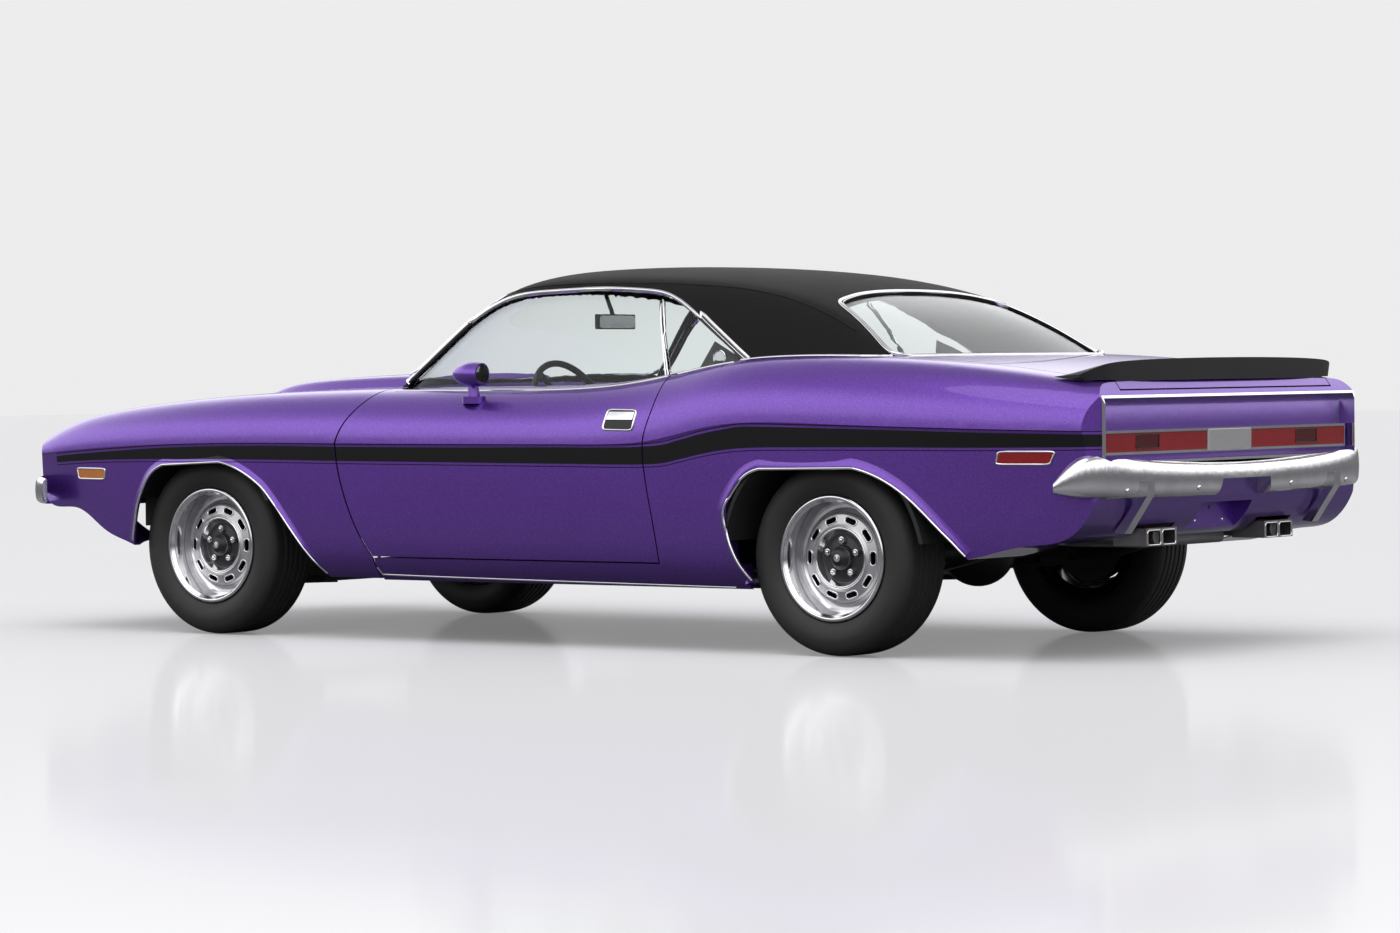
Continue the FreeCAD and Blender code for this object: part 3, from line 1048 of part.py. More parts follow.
engine_rear = firewall_x + 0.012 * half_length
engine_front = 0.560 * half_length
engine = block(engine_rear, engine_front, -0.235 * half_width, 0.235 * half_width, 0.335 * body_height,
               0.790 * body_height)
keep("engine_block", engine)
box_end_x = 0.02 * half_length
gearbox_radius = 0.112 * half_width
gearbox = Part.makeCone(gearbox_radius, 0.075 * half_width, firewall_x - box_end_x,
                        V(firewall_x, 0, axle_height), V(-1, 0, 0))
shaft_end_x = rear_axle_x + case_radius * 1.5
shaft = rod(V(box_end_x, 0, axle_height), V(shaft_end_x + seat_clearance, 0, axle_height), 0.11 * tyre_radius)
bell = Part.makeCylinder(gearbox_radius, engine_rear - firewall_x - seat_clearance,
                         V(firewall_x, 0, axle_height), V(1, 0, 0))
keep("driveline", main_solid(gearbox.fuse([shaft, bell])))

pipe_radius = 0.028 * body_height
PIPE_SHARES = ((0.240, 0.30, 0.222), (-0.150, 0.30, 0.222), (-0.360, 0.36, 0.222), (-0.432, 0.36, 0.228),
               (-0.535, 0.36, 0.447), (-0.585, 0.36, 0.447), (-0.680, 0.39, 0.400), (-0.950, 0.392, 0.399))
pipe_points = [V(x * half_length, y * half_width, z * body_height) for x, y, z in PIPE_SHARES]
pipe = Part.makeSphere(pipe_radius, pipe_points[0])
for a, b in zip(pipe_points, pipe_points[1:]):
    pipe = pipe.fuse([rod(a, b, pipe_radius), Part.makeSphere(pipe_radius, b)])
muffler = Part.makeCylinder(0.034 * body_height, 0.20 * half_length,
                            V(-0.100 * half_length, pipe_points[0].y, pipe_points[0].z), V(-1, 0, 0))
tip_front_x = -0.905 * half_length
pipe = pipe.cut(block(-far, pipe_points[-1].x, 0, wide, 0, top))
tip_box = block(-0.957 * half_length, tip_front_x, tip_y - tip_half_width, tip_y + tip_half_width, tip_low,
                tip_high)
tip_hole_half = tip_half_width * 0.42
for sign in (1, -1):
    middle = tip_y + sign * tip_half_width / 2
    tip_box = tip_box.cut(block(-far, tip_front_x - sheet, middle - tip_hole_half, middle + tip_hole_half,
                                tip_low + structure_sheet / 4, tip_high - structure_sheet / 4))
strap_half = 0.010 * half_width
strap_length = 0.004 * half_length


def strap(x, at, z_to):
    """A hanger from the pipe's middle up to what carries it."""
    return block(x - strap_length, x + strap_length, at.y - strap_half, at.y + strap_half, at.z, z_to)


front_strap = strap(-0.060 * half_length, pipe_points[0], floor_z - seat_clearance)
middle_strap = strap(-0.330 * half_length, pipe_points[2], floor_z - seat_clearance)
rear_strap = strap(-0.780 * half_length, pipe_points[-1], trunk_floor_z - seat_clearance)
exhaust_half = pipe.fuse([muffler, tip_box, front_strap, middle_strap, rear_strap])
cross_start = V(-0.03 * half_length, pipe_points[0].y, pipe_points[0].z)
cross_end = V(cross_start.x, -cross_start.y, cross_start.z)
cross_pipe = rod(cross_start, cross_end, pipe_radius * 0.8)
keep("exhaust", main_solid(exhaust_half.fuse([mirror_y(exhaust_half), cross_pipe])))
tank = block(-0.900 * half_length, -0.700 * half_length, -0.26 * half_width, 0.26 * half_width,
             0.355 * body_height, trunk_floor_z - seat_clearance)
long_edges = [edge for edge in tank.Edges if abs(edge.tangentAt(0).y) > 0.9]
keep("fuel_tank", tank.makeFillet(0.02 * body_height, long_edges))

# Cabin: seats, dashboard with column, steering wheel


def cushion(x_low, x_high, y_low, y_high, z_low, z_high, lean, fillet):
    """A soft block leaning back by a length, with rounded edges."""
    base = polygon_prism([V(x_low, y_low, z_low), V(x_high, y_low, z_low), V(x_high - lean, y_low, z_high),
                          V(x_low - lean, y_low, z_high)], V(0, y_high - y_low, 0))
    return base.makeFillet(fillet, base.Edges)


seat_floor = floor_z + sheet + seat_clearance
cushion_top = 0.500 * body_height
seat_inner = 0.205 * half_width
seat_outer = 0.690 * half_width
soft = 0.032 * body_height
front_cushion = cushion(-0.110 * half_length, 0.095 * half_length, seat_inner, seat_outer, seat_floor,
                        cushion_top, 0, soft)
front_back = cushion(-0.150 * half_length, -0.104 * half_length, seat_inner, seat_outer,
                     cushion_top + 0.012 * body_height, 0.905 * body_height, 0.060 * half_length, soft)
seat_frame = block(-0.150 * half_length, -0.112 * half_length, seat_inner + soft, seat_outer - soft,
                   seat_floor, cushion_top + 0.05 * body_height).cut(front_cushion)
front_back = front_back.fuse(seat_frame).cut(front_cushion)
front_seats = both(Part.makeCompound([front_cushion, main_solid(front_back)]))
rear_seat_half = 0.565 * half_width
rear_cushion = cushion(-0.375 * half_length, -0.205 * half_length, -rear_seat_half, rear_seat_half,
                       seat_floor, cushion_top - 0.02 * body_height, 0, soft)
rear_back = cushion(-0.405 * half_length + seat_clearance, -0.380 * half_length + seat_clearance,
                    -rear_seat_half, rear_seat_half, seat_floor, 0.880 * body_height, 0, soft * 0.8)
over_tunnel = block(-far, far, -tunnel_half - seat_clearance, tunnel_half + seat_clearance, 0,
                    tunnel_high + seat_clearance)
rear_pads = [main_solid(pad.cut(over_tunnel)) for pad in (rear_cushion, rear_back)]
keep("seats", Part.makeCompound(front_seats.Solids + rear_pads))

dash_half = 0.660 * half_width
DASH_SHARES = ((0.252, 0.878), (0.205, 0.886), (0.186, 0.872), (0.190, 0.770), (0.200, 0.660),
               (0.252, 0.600))
dash = side_prism([scaled(DASH_SHARES, body_height)], -dash_half, dash_half)
dash = dash.cut(firewall)
column_y = 0.383 * half_width
wheel_centre = V(0.050 * half_length, column_y, 0.809 * body_height)
column_rake = 25.0
column_dir = V(math.cos(math.radians(column_rake)), 0, -math.sin(math.radians(column_rake)))
wheel_ring_radius = 0.197 * body_height
column_start = wheel_centre + column_dir * (0.040 * half_length)
column = Part.makeCylinder(0.028 * body_height, 0.172 * half_length, column_start, column_dir)
dash = dash.fuse(column).cut(block(firewall_x - sheet - seat_clearance, far, -wide, wide, 0, top))
column_pin = Part.makeCylinder(pin_radius, 0.050 * half_length,
                               wheel_centre + column_dir * (0.005 * half_length), column_dir)
dash = dash.fuse(column_pin)
keep("dashboard", main_solid(dash))
steer_ring = Part.makeTorus(wheel_ring_radius, 0.012 * body_height, wheel_centre, column_dir)
boss = Part.makeCylinder(0.040 * body_height, 0.034 * half_length,
                         wheel_centre + column_dir * (-0.002 * half_length), column_dir)
steering = steer_ring.fuse(boss)
for turn in (90.0, 210.0, 330.0):
    spoke = Part.makeBox(0.006 * body_height, 0.028 * body_height, wheel_ring_radius,
                         V(0, -0.014 * body_height, 0))
    spoke.rotate(V(0, 0, 0), V(1, 0, 0), turn)
    spoke.rotate(V(0, 0, 0), V(0, 1, 0), column_rake)
    spoke.translate(wheel_centre + column_dir * (0.003 * half_length))
    steering = steering.fuse(spoke)
steering = steering.cut(Part.makeCylinder(pin_radius + hub_clearance, 0.2 * half_length,
                                          wheel_centre + column_dir * (0.004 * half_length), column_dir))
keep("steering_wheel", main_solid(steering))
inner_mirror = block(0.086 * half_length, 0.094 * half_length, -0.115 * half_width, 0.115 * half_width,
                     1.112 * body_height, 1.168 * body_height)
mirror_stalk = rod(V(0.092 * half_length, 0, 1.150 * body_height),
                   V(0.112 * half_length, 0, 1.275 * body_height), 0.008 * body_height)
inner_mirror = inner_mirror.makeFillet(0.006 * body_height, inner_mirror.Edges)
stalk = inner_mirror.fuse(mirror_stalk).common(greenhouse(roof_wall + seat_clearance))
keep("inner_mirror", main_solid(stalk))

os.makedirs("parts", exist_ok=True)
for name, shape in PARTS.items():
    shape.exportStep(os.path.join("parts", name + ".step"))
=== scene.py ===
"""Two-door hardtop muscle car in purple metallic paint, dressed over its construction model.

Metres. +X points to the front of the car, +Y to its left side and +Z up. The ground is at zero height.
"""

import bmesh
import bpy
import math
import numpy as np
from mathutils import Matrix, Vector
from mathutils.bvhtree import BVHTree


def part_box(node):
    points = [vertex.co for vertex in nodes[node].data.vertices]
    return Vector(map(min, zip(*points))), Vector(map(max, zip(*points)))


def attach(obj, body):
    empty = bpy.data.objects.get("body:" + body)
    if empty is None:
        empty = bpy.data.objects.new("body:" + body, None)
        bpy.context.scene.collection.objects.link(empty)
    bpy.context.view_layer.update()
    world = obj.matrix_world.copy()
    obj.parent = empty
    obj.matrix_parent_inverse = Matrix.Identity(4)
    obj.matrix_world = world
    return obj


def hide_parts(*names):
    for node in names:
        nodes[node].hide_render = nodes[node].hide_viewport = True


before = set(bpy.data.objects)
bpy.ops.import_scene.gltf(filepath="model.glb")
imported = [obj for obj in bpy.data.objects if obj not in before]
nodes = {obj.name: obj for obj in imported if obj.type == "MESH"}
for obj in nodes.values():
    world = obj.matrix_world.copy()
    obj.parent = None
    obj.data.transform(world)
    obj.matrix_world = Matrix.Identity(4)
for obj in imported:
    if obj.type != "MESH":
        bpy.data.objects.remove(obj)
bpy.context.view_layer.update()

# Studio
# A pale seamless floor under a white sky, lit by one wide overhead light, as a car is shown in a studio.
# The camera stands low, behind the left rear corner, with a long lens.

camera_place = Vector((-10.3143, 13.5053, 0.9793))
camera_yaw = -0.9261
camera_pitch = -0.0223
camera_roll = -0.0100
focal_pixels = 4694.82
frame_pixels = 1400
sensor_mm = 36.0


def place_in_scene(name, data):
    """A new object in the scene, with that mesh, camera or light."""
    made = bpy.data.objects.new(name, data)
    bpy.context.scene.collection.objects.link(made)
    return made


forward = Vector((math.cos(camera_pitch) * math.cos(camera_yaw), math.cos(camera_pitch) * math.sin(camera_yaw),
                  math.sin(camera_pitch)))
level_right = forward.cross(Vector((0, 0, 1))).normalized()
level_up = level_right.cross(forward)
right = level_right * math.cos(camera_roll) + level_up * math.sin(camera_roll)
up = level_up * math.cos(camera_roll) - level_right * math.sin(camera_roll)
camera_data = bpy.data.cameras.new("camera")
camera_data.sensor_width = sensor_mm
camera_data.lens = focal_pixels / frame_pixels * sensor_mm
camera_data.clip_end = 300
camera = place_in_scene("camera", camera_data)
camera.matrix_world = Matrix((right, up, -forward)).transposed().to_4x4()
camera.location = camera_place
bpy.context.scene.camera = camera
bpy.context.scene.view_settings.view_transform = "Standard"


def new_material(name):
    """A material, its principled shader and the object's own coordinates."""
    material = bpy.data.materials.new(name)
    material.use_nodes = True
    tree = material.node_tree
    tree.nodes.clear()
    shader = tree.nodes.new("ShaderNodeBsdfPrincipled")
    output = tree.nodes.new("ShaderNodeOutputMaterial")
    tree.links.new(shader.outputs["BSDF"], output.inputs["Surface"])
    return material, shader, node(tree, "ShaderNodeTexCoord").outputs["Object"]


def feed(target, **values):
    """Sets a node's inputs, named with underscores, to values or joins them to the sockets that feed them."""
    for key, value in values.items():
        socket = target.inputs[key.replace("_", " ")]
        if isinstance(value, bpy.types.NodeSocket):
            target.id_data.links.new(value, socket)
        else:
            socket.default_value = value


def node(near, kind, inputs=None, **settings):
    """A node of that kind, in the tree of another node or socket, with its inputs and its own properties."""
    made = near.id_data.nodes.new(kind)
    for key, value in settings.items():
        setattr(made, key, value)
    for key, value in (inputs or {}).items():
        if isinstance(value, bpy.types.NodeSocket):
            near.id_data.links.new(value, made.inputs[key])
        else:
            made.inputs[key].default_value = value
    return made


def parts_of(vector):
    """The three parts of a vector."""
    return node(vector, "ShaderNodeSeparateXYZ", {"Vector": vector}).outputs


def first_socket(*values):
    """The first of the values that is a socket."""
    return next(value for value in values if isinstance(value, bpy.types.NodeSocket))


def maths(operation, *values, clamp=False):
    """One math node's result."""
    return node(first_socket(*values), "ShaderNodeMath", dict(enumerate(values)), operation=operation,
                use_clamp=clamp).outputs[0]


def blend_colours(share, first, second):
    """The first colour changing to the second as the share goes from 0 to 1."""
    first, second = (value if isinstance(value, bpy.types.NodeSocket) else (*value, 1.0) for value in (first, second))
    return node(first_socket(share, first, second), "ShaderNodeMix", {0: share, 6: first, 7: second},
                data_type="RGBA").outputs[2]


def smooth_step(value, low, high):
    """0 below low, 1 above high and a smooth rise between."""
    return node(value, "ShaderNodeMapRange", {"Value": value, "From Min": low, "From Max": high},
                interpolation_type="SMOOTHSTEP").outputs["Result"]


def noise(coordinate, scale, detail=3.0):
    """Smooth noise from 0 to 1 at so many cells a metre."""
    return node(coordinate, "ShaderNodeTexNoise", {"Vector": coordinate, "Scale": scale,
                                                   "Detail": detail}).outputs["Fac"]


def seen_directly(near):
    """1 for rays from the camera, straight or through glass, and the light path's outputs."""
    rays = node(near, "ShaderNodeLightPath").outputs
    return maths("ADD", rays["Is Camera Ray"], rays["Is Transmission Ray"], clamp=True), rays


floor_material, shader, coordinate = new_material("studio_floor")
tint = blend_colours(noise(coordinate, 0.35), (0.80, 0.80, 0.81), (0.82, 0.82, 0.825))
seen = seen_directly(shader)[0]
feed(shader, Base_Color=blend_colours(seen, (0.17, 0.17, 0.18), tint),
     Roughness=maths("MULTIPLY_ADD", noise(coordinate, 1.5), 0.05, 0.07),
     Emission_Color=maths("MULTIPLY", seen, 0.16), Emission_Strength=1.0, Metallic=0.27, Specular_IOR_Level=0.0)

floor_half = 60.0
floor_mesh = bpy.data.meshes.new("studio_floor")
floor_mesh.from_pydata([(-floor_half, -floor_half, 0), (floor_half, -floor_half, 0), (floor_half, floor_half, 0),
                        (-floor_half, floor_half, 0)], [], [(0, 1, 2, 3)])
floor_mesh.materials.append(floor_material)
place_in_scene("studio_floor", floor_mesh)

world = bpy.data.worlds.new("studio")
world.use_nodes = True
bpy.context.scene.world = world
background = world.node_tree.nodes["Background"]
upward = parts_of(node(background, "ShaderNodeTexCoord").outputs["Generated"])["Z"]
height = smooth_step(upward, 0.0, 0.55)
seen, rays = seen_directly(background)
sky = blend_colours(height, (0.84, 0.84, 0.845), (0.95, 0.95, 0.95))
fill = blend_colours(height, (0.30, 0.30, 0.31), (0.62, 0.62, 0.63))
mirrored_sky = blend_colours(smooth_step(upward, 0.02, 0.24), (0.20, 0.20, 0.21), (1.70, 1.70, 1.73))
mirrored_sky = blend_colours(smooth_step(upward, 0.42, 0.80), mirrored_sky, (0.45, 0.45, 0.47))
feed(background, Color=blend_colours(seen, blend_colours(rays["Is Glossy Ray"], fill, mirrored_sky), sky))

light_data = bpy.data.lights.new("overhead", "SUN")
light_data.energy = 1.3
light_data.angle = math.radians(64)
place_in_scene("overhead", light_data).rotation_euler = (math.radians(-24), math.radians(-10), 0)

# Body paint
# The panels are sprayed in a purple metallic base with flakes, under a clear coat. A black tape stripe between
# two thin lines runs from the front fender to the tail and rises over the rear wheel.

purple = (0.150, 0.050, 0.405)
purple_deep = (0.130, 0.040, 0.355)
flake_colour = (0.245, 0.105, 0.560)
stripe_black = (0.008, 0.008, 0.009)
flake_cells = 850.0
peel_cells = 95.0
line_gap = 0.0075
line_width = 0.0035
curve_from = -2.45
curve_reach = 4.90
curve_low = 0.60
curve_rise = 0.20
stripe_top = ((2.201, .650), (1.871, .671), (1.484, .688), (1.108, .693), (.743, .691), (.316, .690), (-.275, .691),
              (-.459, .691), (-.651, .696), (-.788, .717), (-.877, .737), (-.994, .756), (-1.061, .763),
              (-1.121, .763), (-1.244, .761), (-1.602, .753), (-1.951, .744), (-2.423, .735))
stripe_foot = ((2.201, .626), (1.871, .639), (1.485, .643), (1.109, .643), (.743, .640), (.317, .638), (-.275, .635),
               (-.650, .635), (-.787, .652), (-.876, .669), (-.993, .686), (-1.060, .691), (-1.121, .693),
               (-1.243, .694), (-1.602, .695), (-1.950, .694), (-2.422, .697))


def bump(height, distance, strength=1.0):
    """A normal raised by a height from 0 to 1 times the distance."""
    return node(height, "ShaderNodeBump", {"Height": height, "Distance": distance,
                                           "Strength": strength}).outputs["Normal"]


def normal_of(near, moving=False):
    """The true normal split in three, turned back with its part where the part moves."""
    normal = node(near, "ShaderNodeNewGeometry").outputs["True Normal"]
    if moving:
        normal = node(near, "ShaderNodeVectorTransform", {"Vector": normal}, vector_type="NORMAL",
                      convert_from="WORLD", convert_to="OBJECT").outputs["Vector"]
    return parts_of(normal)


def new_group(name, inputs, outputs):
    """An empty shader node group, the sockets it is given and its output node, from pairs of name and kind."""
    group = bpy.data.node_groups.new(name, "ShaderNodeTree")
    for way, sockets in (("INPUT", inputs), ("OUTPUT", outputs)):
        for label, kind in sockets:
            group.interface.new_socket(label, in_out=way, socket_type="NodeSocket" + kind)
    return group, group.nodes.new("NodeGroupInput").outputs, group.nodes.new("NodeGroupOutput")


def use(group, **values):
    """The outputs of a group placed beside the first socket given, with its own values or feeding sockets."""
    placed = node(first_socket(*values.values()), "ShaderNodeGroup", node_tree=group)
    feed(placed, **values)
    return placed.outputs


def height_line(along, points):
    """The height of a line drawn through those points of length and height, read at the length along."""
    share = maths("DIVIDE", maths("SUBTRACT", along, curve_from), curve_reach)
    drawn = node(share, "ShaderNodeFloatCurve", {"Value": share})
    curve = drawn.mapping.curves[0]
    spots = sorted(((x - curve_from) / curve_reach, (z - curve_low) / curve_rise) for x, z in points)
    curve.points[0].location = spots[0]
    curve.points[-1].location = spots[-1]
    for spot in spots[1:-1]:
        curve.points.new(*spot)
    drawn.mapping.update()
    return maths("MULTIPLY_ADD", drawn.outputs[0], curve_rise, curve_low)


def band(value, low, high, soft=0.0006):
    """1 where the value lies between low and high."""
    above = maths("SUBTRACT", value, low)
    under = maths("SUBTRACT", high, value)
    return maths("MULTIPLY", smooth_step(above, -soft, soft), smooth_step(under, -soft, soft))


paint_flakes, given, out = new_group("paint_flakes", (("Place", "Vector"),),
                                     (("Colour", "Color"), ("Height", "Float")))
cells = node(paint_flakes, "ShaderNodeTexVoronoi", {"Vector": given["Place"], "Scale": flake_cells}).outputs["Color"]
flake = node(paint_flakes, "ShaderNodeSeparateColor", {"Color": cells}).outputs[0]
base = blend_colours(noise(given["Place"], 2.2, 2.0), purple, purple_deep)
feed(out, Colour=blend_colours(smooth_step(flake, 0.72, 1.0), base, flake_colour),
     Height=noise(given["Place"], peel_cells))

road_film, given, out = new_group("road_film", (("Place", "Vector"), ("Low", "Float"), ("High", "Float"),
                                                ("Cells", "Float")), (("Film", "Float"),))
fade = smooth_step(parts_of(given["Place"])["Z"], given["High"], given["Low"])
feed(out, Film=maths("MULTIPLY", fade, noise(given["Place"], given["Cells"], 4.0)))


def dress(names, *materials):
    """Gives those nodes their materials."""
    for name in names:
        nodes[name].data.materials.clear()
        for material in materials:
            nodes[name].data.materials.append(material)


def painted(name, striped):
    """Body paint, with or without the side stripe."""
    material, shader, coordinate = new_material(name)
    x, y, z = parts_of(coordinate)
    flakes = use(paint_flakes, Place=coordinate)
    colour, metallic = flakes["Colour"], 0.78
    if striped:
        top, foot = height_line(x, stripe_top), height_line(x, stripe_foot)
        sideways = maths("MULTIPLY", normal_of(y, True)["Y"], maths("SIGN", y))
        outward = maths("GREATER_THAN", sideways, 0.45)
        on_side = maths("MULTIPLY", outward, maths("LESS_THAN", x, stripe_top[0][0]))
        taped = band(z, foot, top)
        for edge, way in ((top, 1), (foot, -1)):
            near, away = sorted((way * line_gap, way * (line_gap + line_width)))
            thin = band(z, maths("ADD", edge, near), maths("ADD", edge, away), 0.0004)
            taped = maths("MAXIMUM", taped, thin)
        taped = maths("MAXIMUM", maths("MULTIPLY", taped, on_side), maths("LESS_THAN", sideways, -0.35))
        colour = blend_colours(taped, colour, stripe_black)
        metallic = maths("MULTIPLY_ADD", taped, -metallic, metallic)
        feed(shader, Metallic=metallic, Specular_IOR_Level=maths("MULTIPLY_ADD", taped, -0.3, 0.5),
             Coat_Weight=maths("MULTIPLY_ADD", taped, -0.66, 0.7))
    else:
        feed(shader, Metallic=metallic, Coat_Weight=0.7)
    film = use(road_film, Place=coordinate, Low=0.24, High=0.36, Cells=60.0)["Film"]
    feed(shader, Base_Color=blend_colours(maths("MULTIPLY", film, 0.25), colour, (0.05, 0.045, 0.05)),
         Roughness=maths("MULTIPLY_ADD", film, 0.2, 0.34), Coat_Roughness=0.03,
         Normal=bump(flakes["Height"], 0.00005))
    return material


plain_paint = painted("body_paint", False)
side_paint = painted("striped_paint", True)
dress(("hood", "deck_lid", "deck_filler", "cowl_panel", "front_valance", "rear_valance", "tail_panel", "door_mirror"),
      plain_paint)
dress(("fender_left", "fender_right", "door_left", "door_right", "quarter_left", "quarter_right"), side_paint)

# Bright metal
# The bumpers, the frame round the tail and every moulding are steel or zinc under polished chrome. A thin film
# of polish dulls it in places.

polish_film, given, out = new_group("polish_film", (("Place", "Vector"), ("Cells", "Float")),
                                    (("Film", "Float"), ("Height", "Float")))
feed(out, Film=smooth_step(noise(given["Place"], given["Cells"], 5.0), 0.35, 0.75),
     Height=noise(given["Place"], 700.0, 2.0))


def metal(name, bright, dull, smooth, rough, cells=14.0, grain=0.00002):
    """Polished or cast metal, between two colours and two roughnesses where its film lies."""
    material, shader, coordinate = new_material(name)
    worn = use(polish_film, Place=coordinate, Cells=cells)
    feed(shader, Base_Color=blend_colours(worn["Film"], bright, dull),
         Roughness=maths("MULTIPLY_ADD", worn["Film"], rough - smooth, smooth), Metallic=1.0,
         Normal=bump(worn["Height"], grain))
    return material


chrome = metal("bright_trim", (0.80, 0.80, 0.81), (0.70, 0.70, 0.72), 0.05, 0.13)
dress(("bumpers", "tail_frame"), chrome)


def sheet_faces(rows, columns, close_rows, close_columns):
    """Four-cornered faces between the neighbours of a grid of points, joined round where it closes."""
    r = np.arange(rows if close_rows else rows - 1)
    c = np.arange(columns if close_columns else columns - 1)
    r, c = np.meshgrid(r, c, indexing="ij")
    near, beside = r * columns + c, r * columns + (c + 1) % columns
    ahead, across = (r + 1) % rows * columns + c, (r + 1) % rows * columns + (c + 1) % columns
    return np.stack((near, ahead, across, beside), axis=-1).reshape(-1, 4)


widest = 0.9661
weld_gap = 0.000002
fold_angle = math.radians(42)


def build(name, grids, material, slot, body="car_body", facing=None, mirror=False):
    """One piece from grids of points, each rows x columns x 3 with two words on which way it closes.

    A closed grid is turned to face outwards by the sign of the volume it holds, which is the sum over its faces
    of corner dot (corner cross corner). An open one is turned so that its mean normal follows the facing way.
    """
    corners, faces, start = [], [], 0
    if mirror:
        grids = list(grids) + [(g * (1, -1, 1), a, b) for g, a, b in grids]
    for grid, close_rows, close_columns in grids:
        flat = np.clip(grid.reshape(-1, 3), (-math.inf, -widest, 0), (math.inf, widest, math.inf))
        quads = sheet_faces(grid.shape[0], grid.shape[1], close_rows, close_columns)
        a, b, c, d = (flat[quads[:, k]] for k in range(4))
        if facing is None:
            middle = flat.mean(axis=0)
            size = np.einsum("ij,ij->i", a - middle, np.cross(b - middle, c - middle)).sum()
            size += np.einsum("ij,ij->i", a - middle, np.cross(c - middle, d - middle)).sum()
        else:
            way = np.array(facing, float) * (1, np.sign(flat[:, 1].mean()) if mirror else 1, 1)
            size = np.cross(c - a, d - b).sum(axis=0) @ way
        corners.append(flat)
        faces.append((quads if size > 0 else quads[:, ::-1]) + start)
        start += len(flat)
    mesh = bpy.data.meshes.new(name)
    mesh.from_pydata(np.concatenate(corners).tolist(), [], np.concatenate(faces).tolist())
    shell = bmesh.new()
    shell.from_mesh(mesh)
    bmesh.ops.remove_doubles(shell, verts=shell.verts, dist=weld_gap)
    bmesh.ops.dissolve_degenerate(shell, dist=weld_gap / 2, edges=shell.edges)
    shell.to_mesh(mesh)
    shell.free()
    mesh.polygons.foreach_set("use_smooth", [True] * len(mesh.polygons))
    mesh.set_sharp_from_angle(angle=fold_angle)
    mesh.materials.append(material)
    made = place_in_scene(name, mesh)
    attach(made, body)
    return made


def trim(name, grids, body="car_body", **how):
    """A piece of bright metal."""
    return build(name, grids, chrome, "bright_trim", body, **how)

# Wheel openings
# The edge of each wheel opening is rolled outwards into a soft flare with a lip turned in behind it, and a thin
# bright moulding is screwed on along that edge.


def smooth_route(points, spacing):
    """Evenly spaced points on a line through the given ones.

    Each span is a cubic whose end slopes are half the chord between the neighbours on both sides.
    """
    p = np.asarray(points, float)
    padded = np.vstack((2 * p[0] - p[1], p, 2 * p[-1] - p[-2]))
    t = np.linspace(0, 1, 16, endpoint=False)[:, None]
    a, b, c, d = (padded[i:len(padded) - 3 + i][:, None, :] for i in range(4))
    spans = 0.5 * (2 * b + (c - a) * t + (2 * a - 5 * b + 4 * c - d) * t ** 2 + (3 * b - a - 3 * c + d) * t ** 3)
    line = np.vstack((spans.reshape(-1, p.shape[1]), p[-1:]))
    travelled = np.concatenate(([0], np.cumsum(np.linalg.norm(np.diff(line, axis=0), axis=1))))
    even = np.linspace(0, travelled[-1], max(2, int(travelled[-1] / spacing) + 1))
    return np.stack([np.interp(even, travelled, line[:, k]) for k in range(line.shape[1])], axis=1)


def unit(vectors):
    """Vectors scaled to length one."""
    return vectors / np.maximum(np.linalg.norm(vectors, axis=-1, keepdims=True), 1e-9)


def half_round(width, height, sink):
    """A moulding's profile: half an ellipse of that width and height, with a flat foot sunk below the surface."""
    turn = np.linspace(0, math.pi, 9)
    top = np.stack((np.cos(turn) * width / 2, np.sin(turn) * height), axis=1)
    return np.vstack((top, ((-width / 2, -sink), (width / 2, -sink))))


def swept(route, outward, profile, closed=False):
    """A profile of (across, out) pairs carried along a route as a closed grid.

    Across is the route's direction cross the outward normal, and an open route's ends are closed flat.
    """
    along = unit(np.roll(route, -1, axis=0) - np.roll(route, 1, axis=0) if closed else np.gradient(route, axis=0))
    across = unit(np.cross(along, np.broadcast_to(outward, route.shape)))
    out = np.cross(across, along)
    tube = route[:, None] + across[:, None] * profile[None, :, :1] + out[:, None] * profile[None, :, 1:]
    if not closed:
        ends = [np.repeat(tube[k].mean(axis=0)[None, None], len(profile), axis=1) for k in (0, -1)]
        tube = np.concatenate((ends[0], tube, ends[1]))
    return tube, closed, True


def strip(route, outward, width, height, sink, closed=False):
    """A half round moulding along a route."""
    return swept(route, outward, half_round(width, height, sink), closed)


def xyz(x, y, z):
    """Points from their three coordinates, each an array or one number for all."""
    return np.stack(np.broadcast_arrays(x, y, z), axis=-1)


def circle(count):
    """Angles evenly round a circle."""
    return np.linspace(0, 2 * math.pi, count, endpoint=False)


def skin_of(*names):
    """The joined surface of those nodes, to be struck by rays."""
    corners, faces = [], []
    for name in names:
        mesh = nodes[name].data
        start = len(corners)
        corners += [corner.co[:] for corner in mesh.vertices]
        faces += [[start + k for k in face.vertices] for face in mesh.polygons]
    return BVHTree.FromPolygons(corners, faces)


def laid_on(skin, points, way, smoothing=5):
    """Where rays through the points strike the skin coming from outside, and the smoothed normals there."""
    way = np.broadcast_to(unit(np.asarray(way, float)), (len(points), 3))
    reach = 0.35
    spots, normals = [], []
    for point, ray in zip(points, way):
        spot, normal = skin.ray_cast(Vector(point - ray * reach), Vector(ray), 2 * reach)[:2]
        if spot is None:
            spot, normal = skin.find_nearest(Vector(point))[:2]
        spots.append(spot)
        normals.append(normal if normal.dot(Vector(ray)) < 0 else -normal)
    spots, normals = np.array(spots, float), np.array(normals, float)
    window = np.ones(smoothing) / smoothing
    pad = smoothing // 2
    normals = np.pad(normals, ((pad, pad), (0, 0)), mode="edge")
    normals = unit(np.stack([np.convolve(normals[:, k], window, mode="valid") for k in range(3)], axis=1))
    return spots, normals


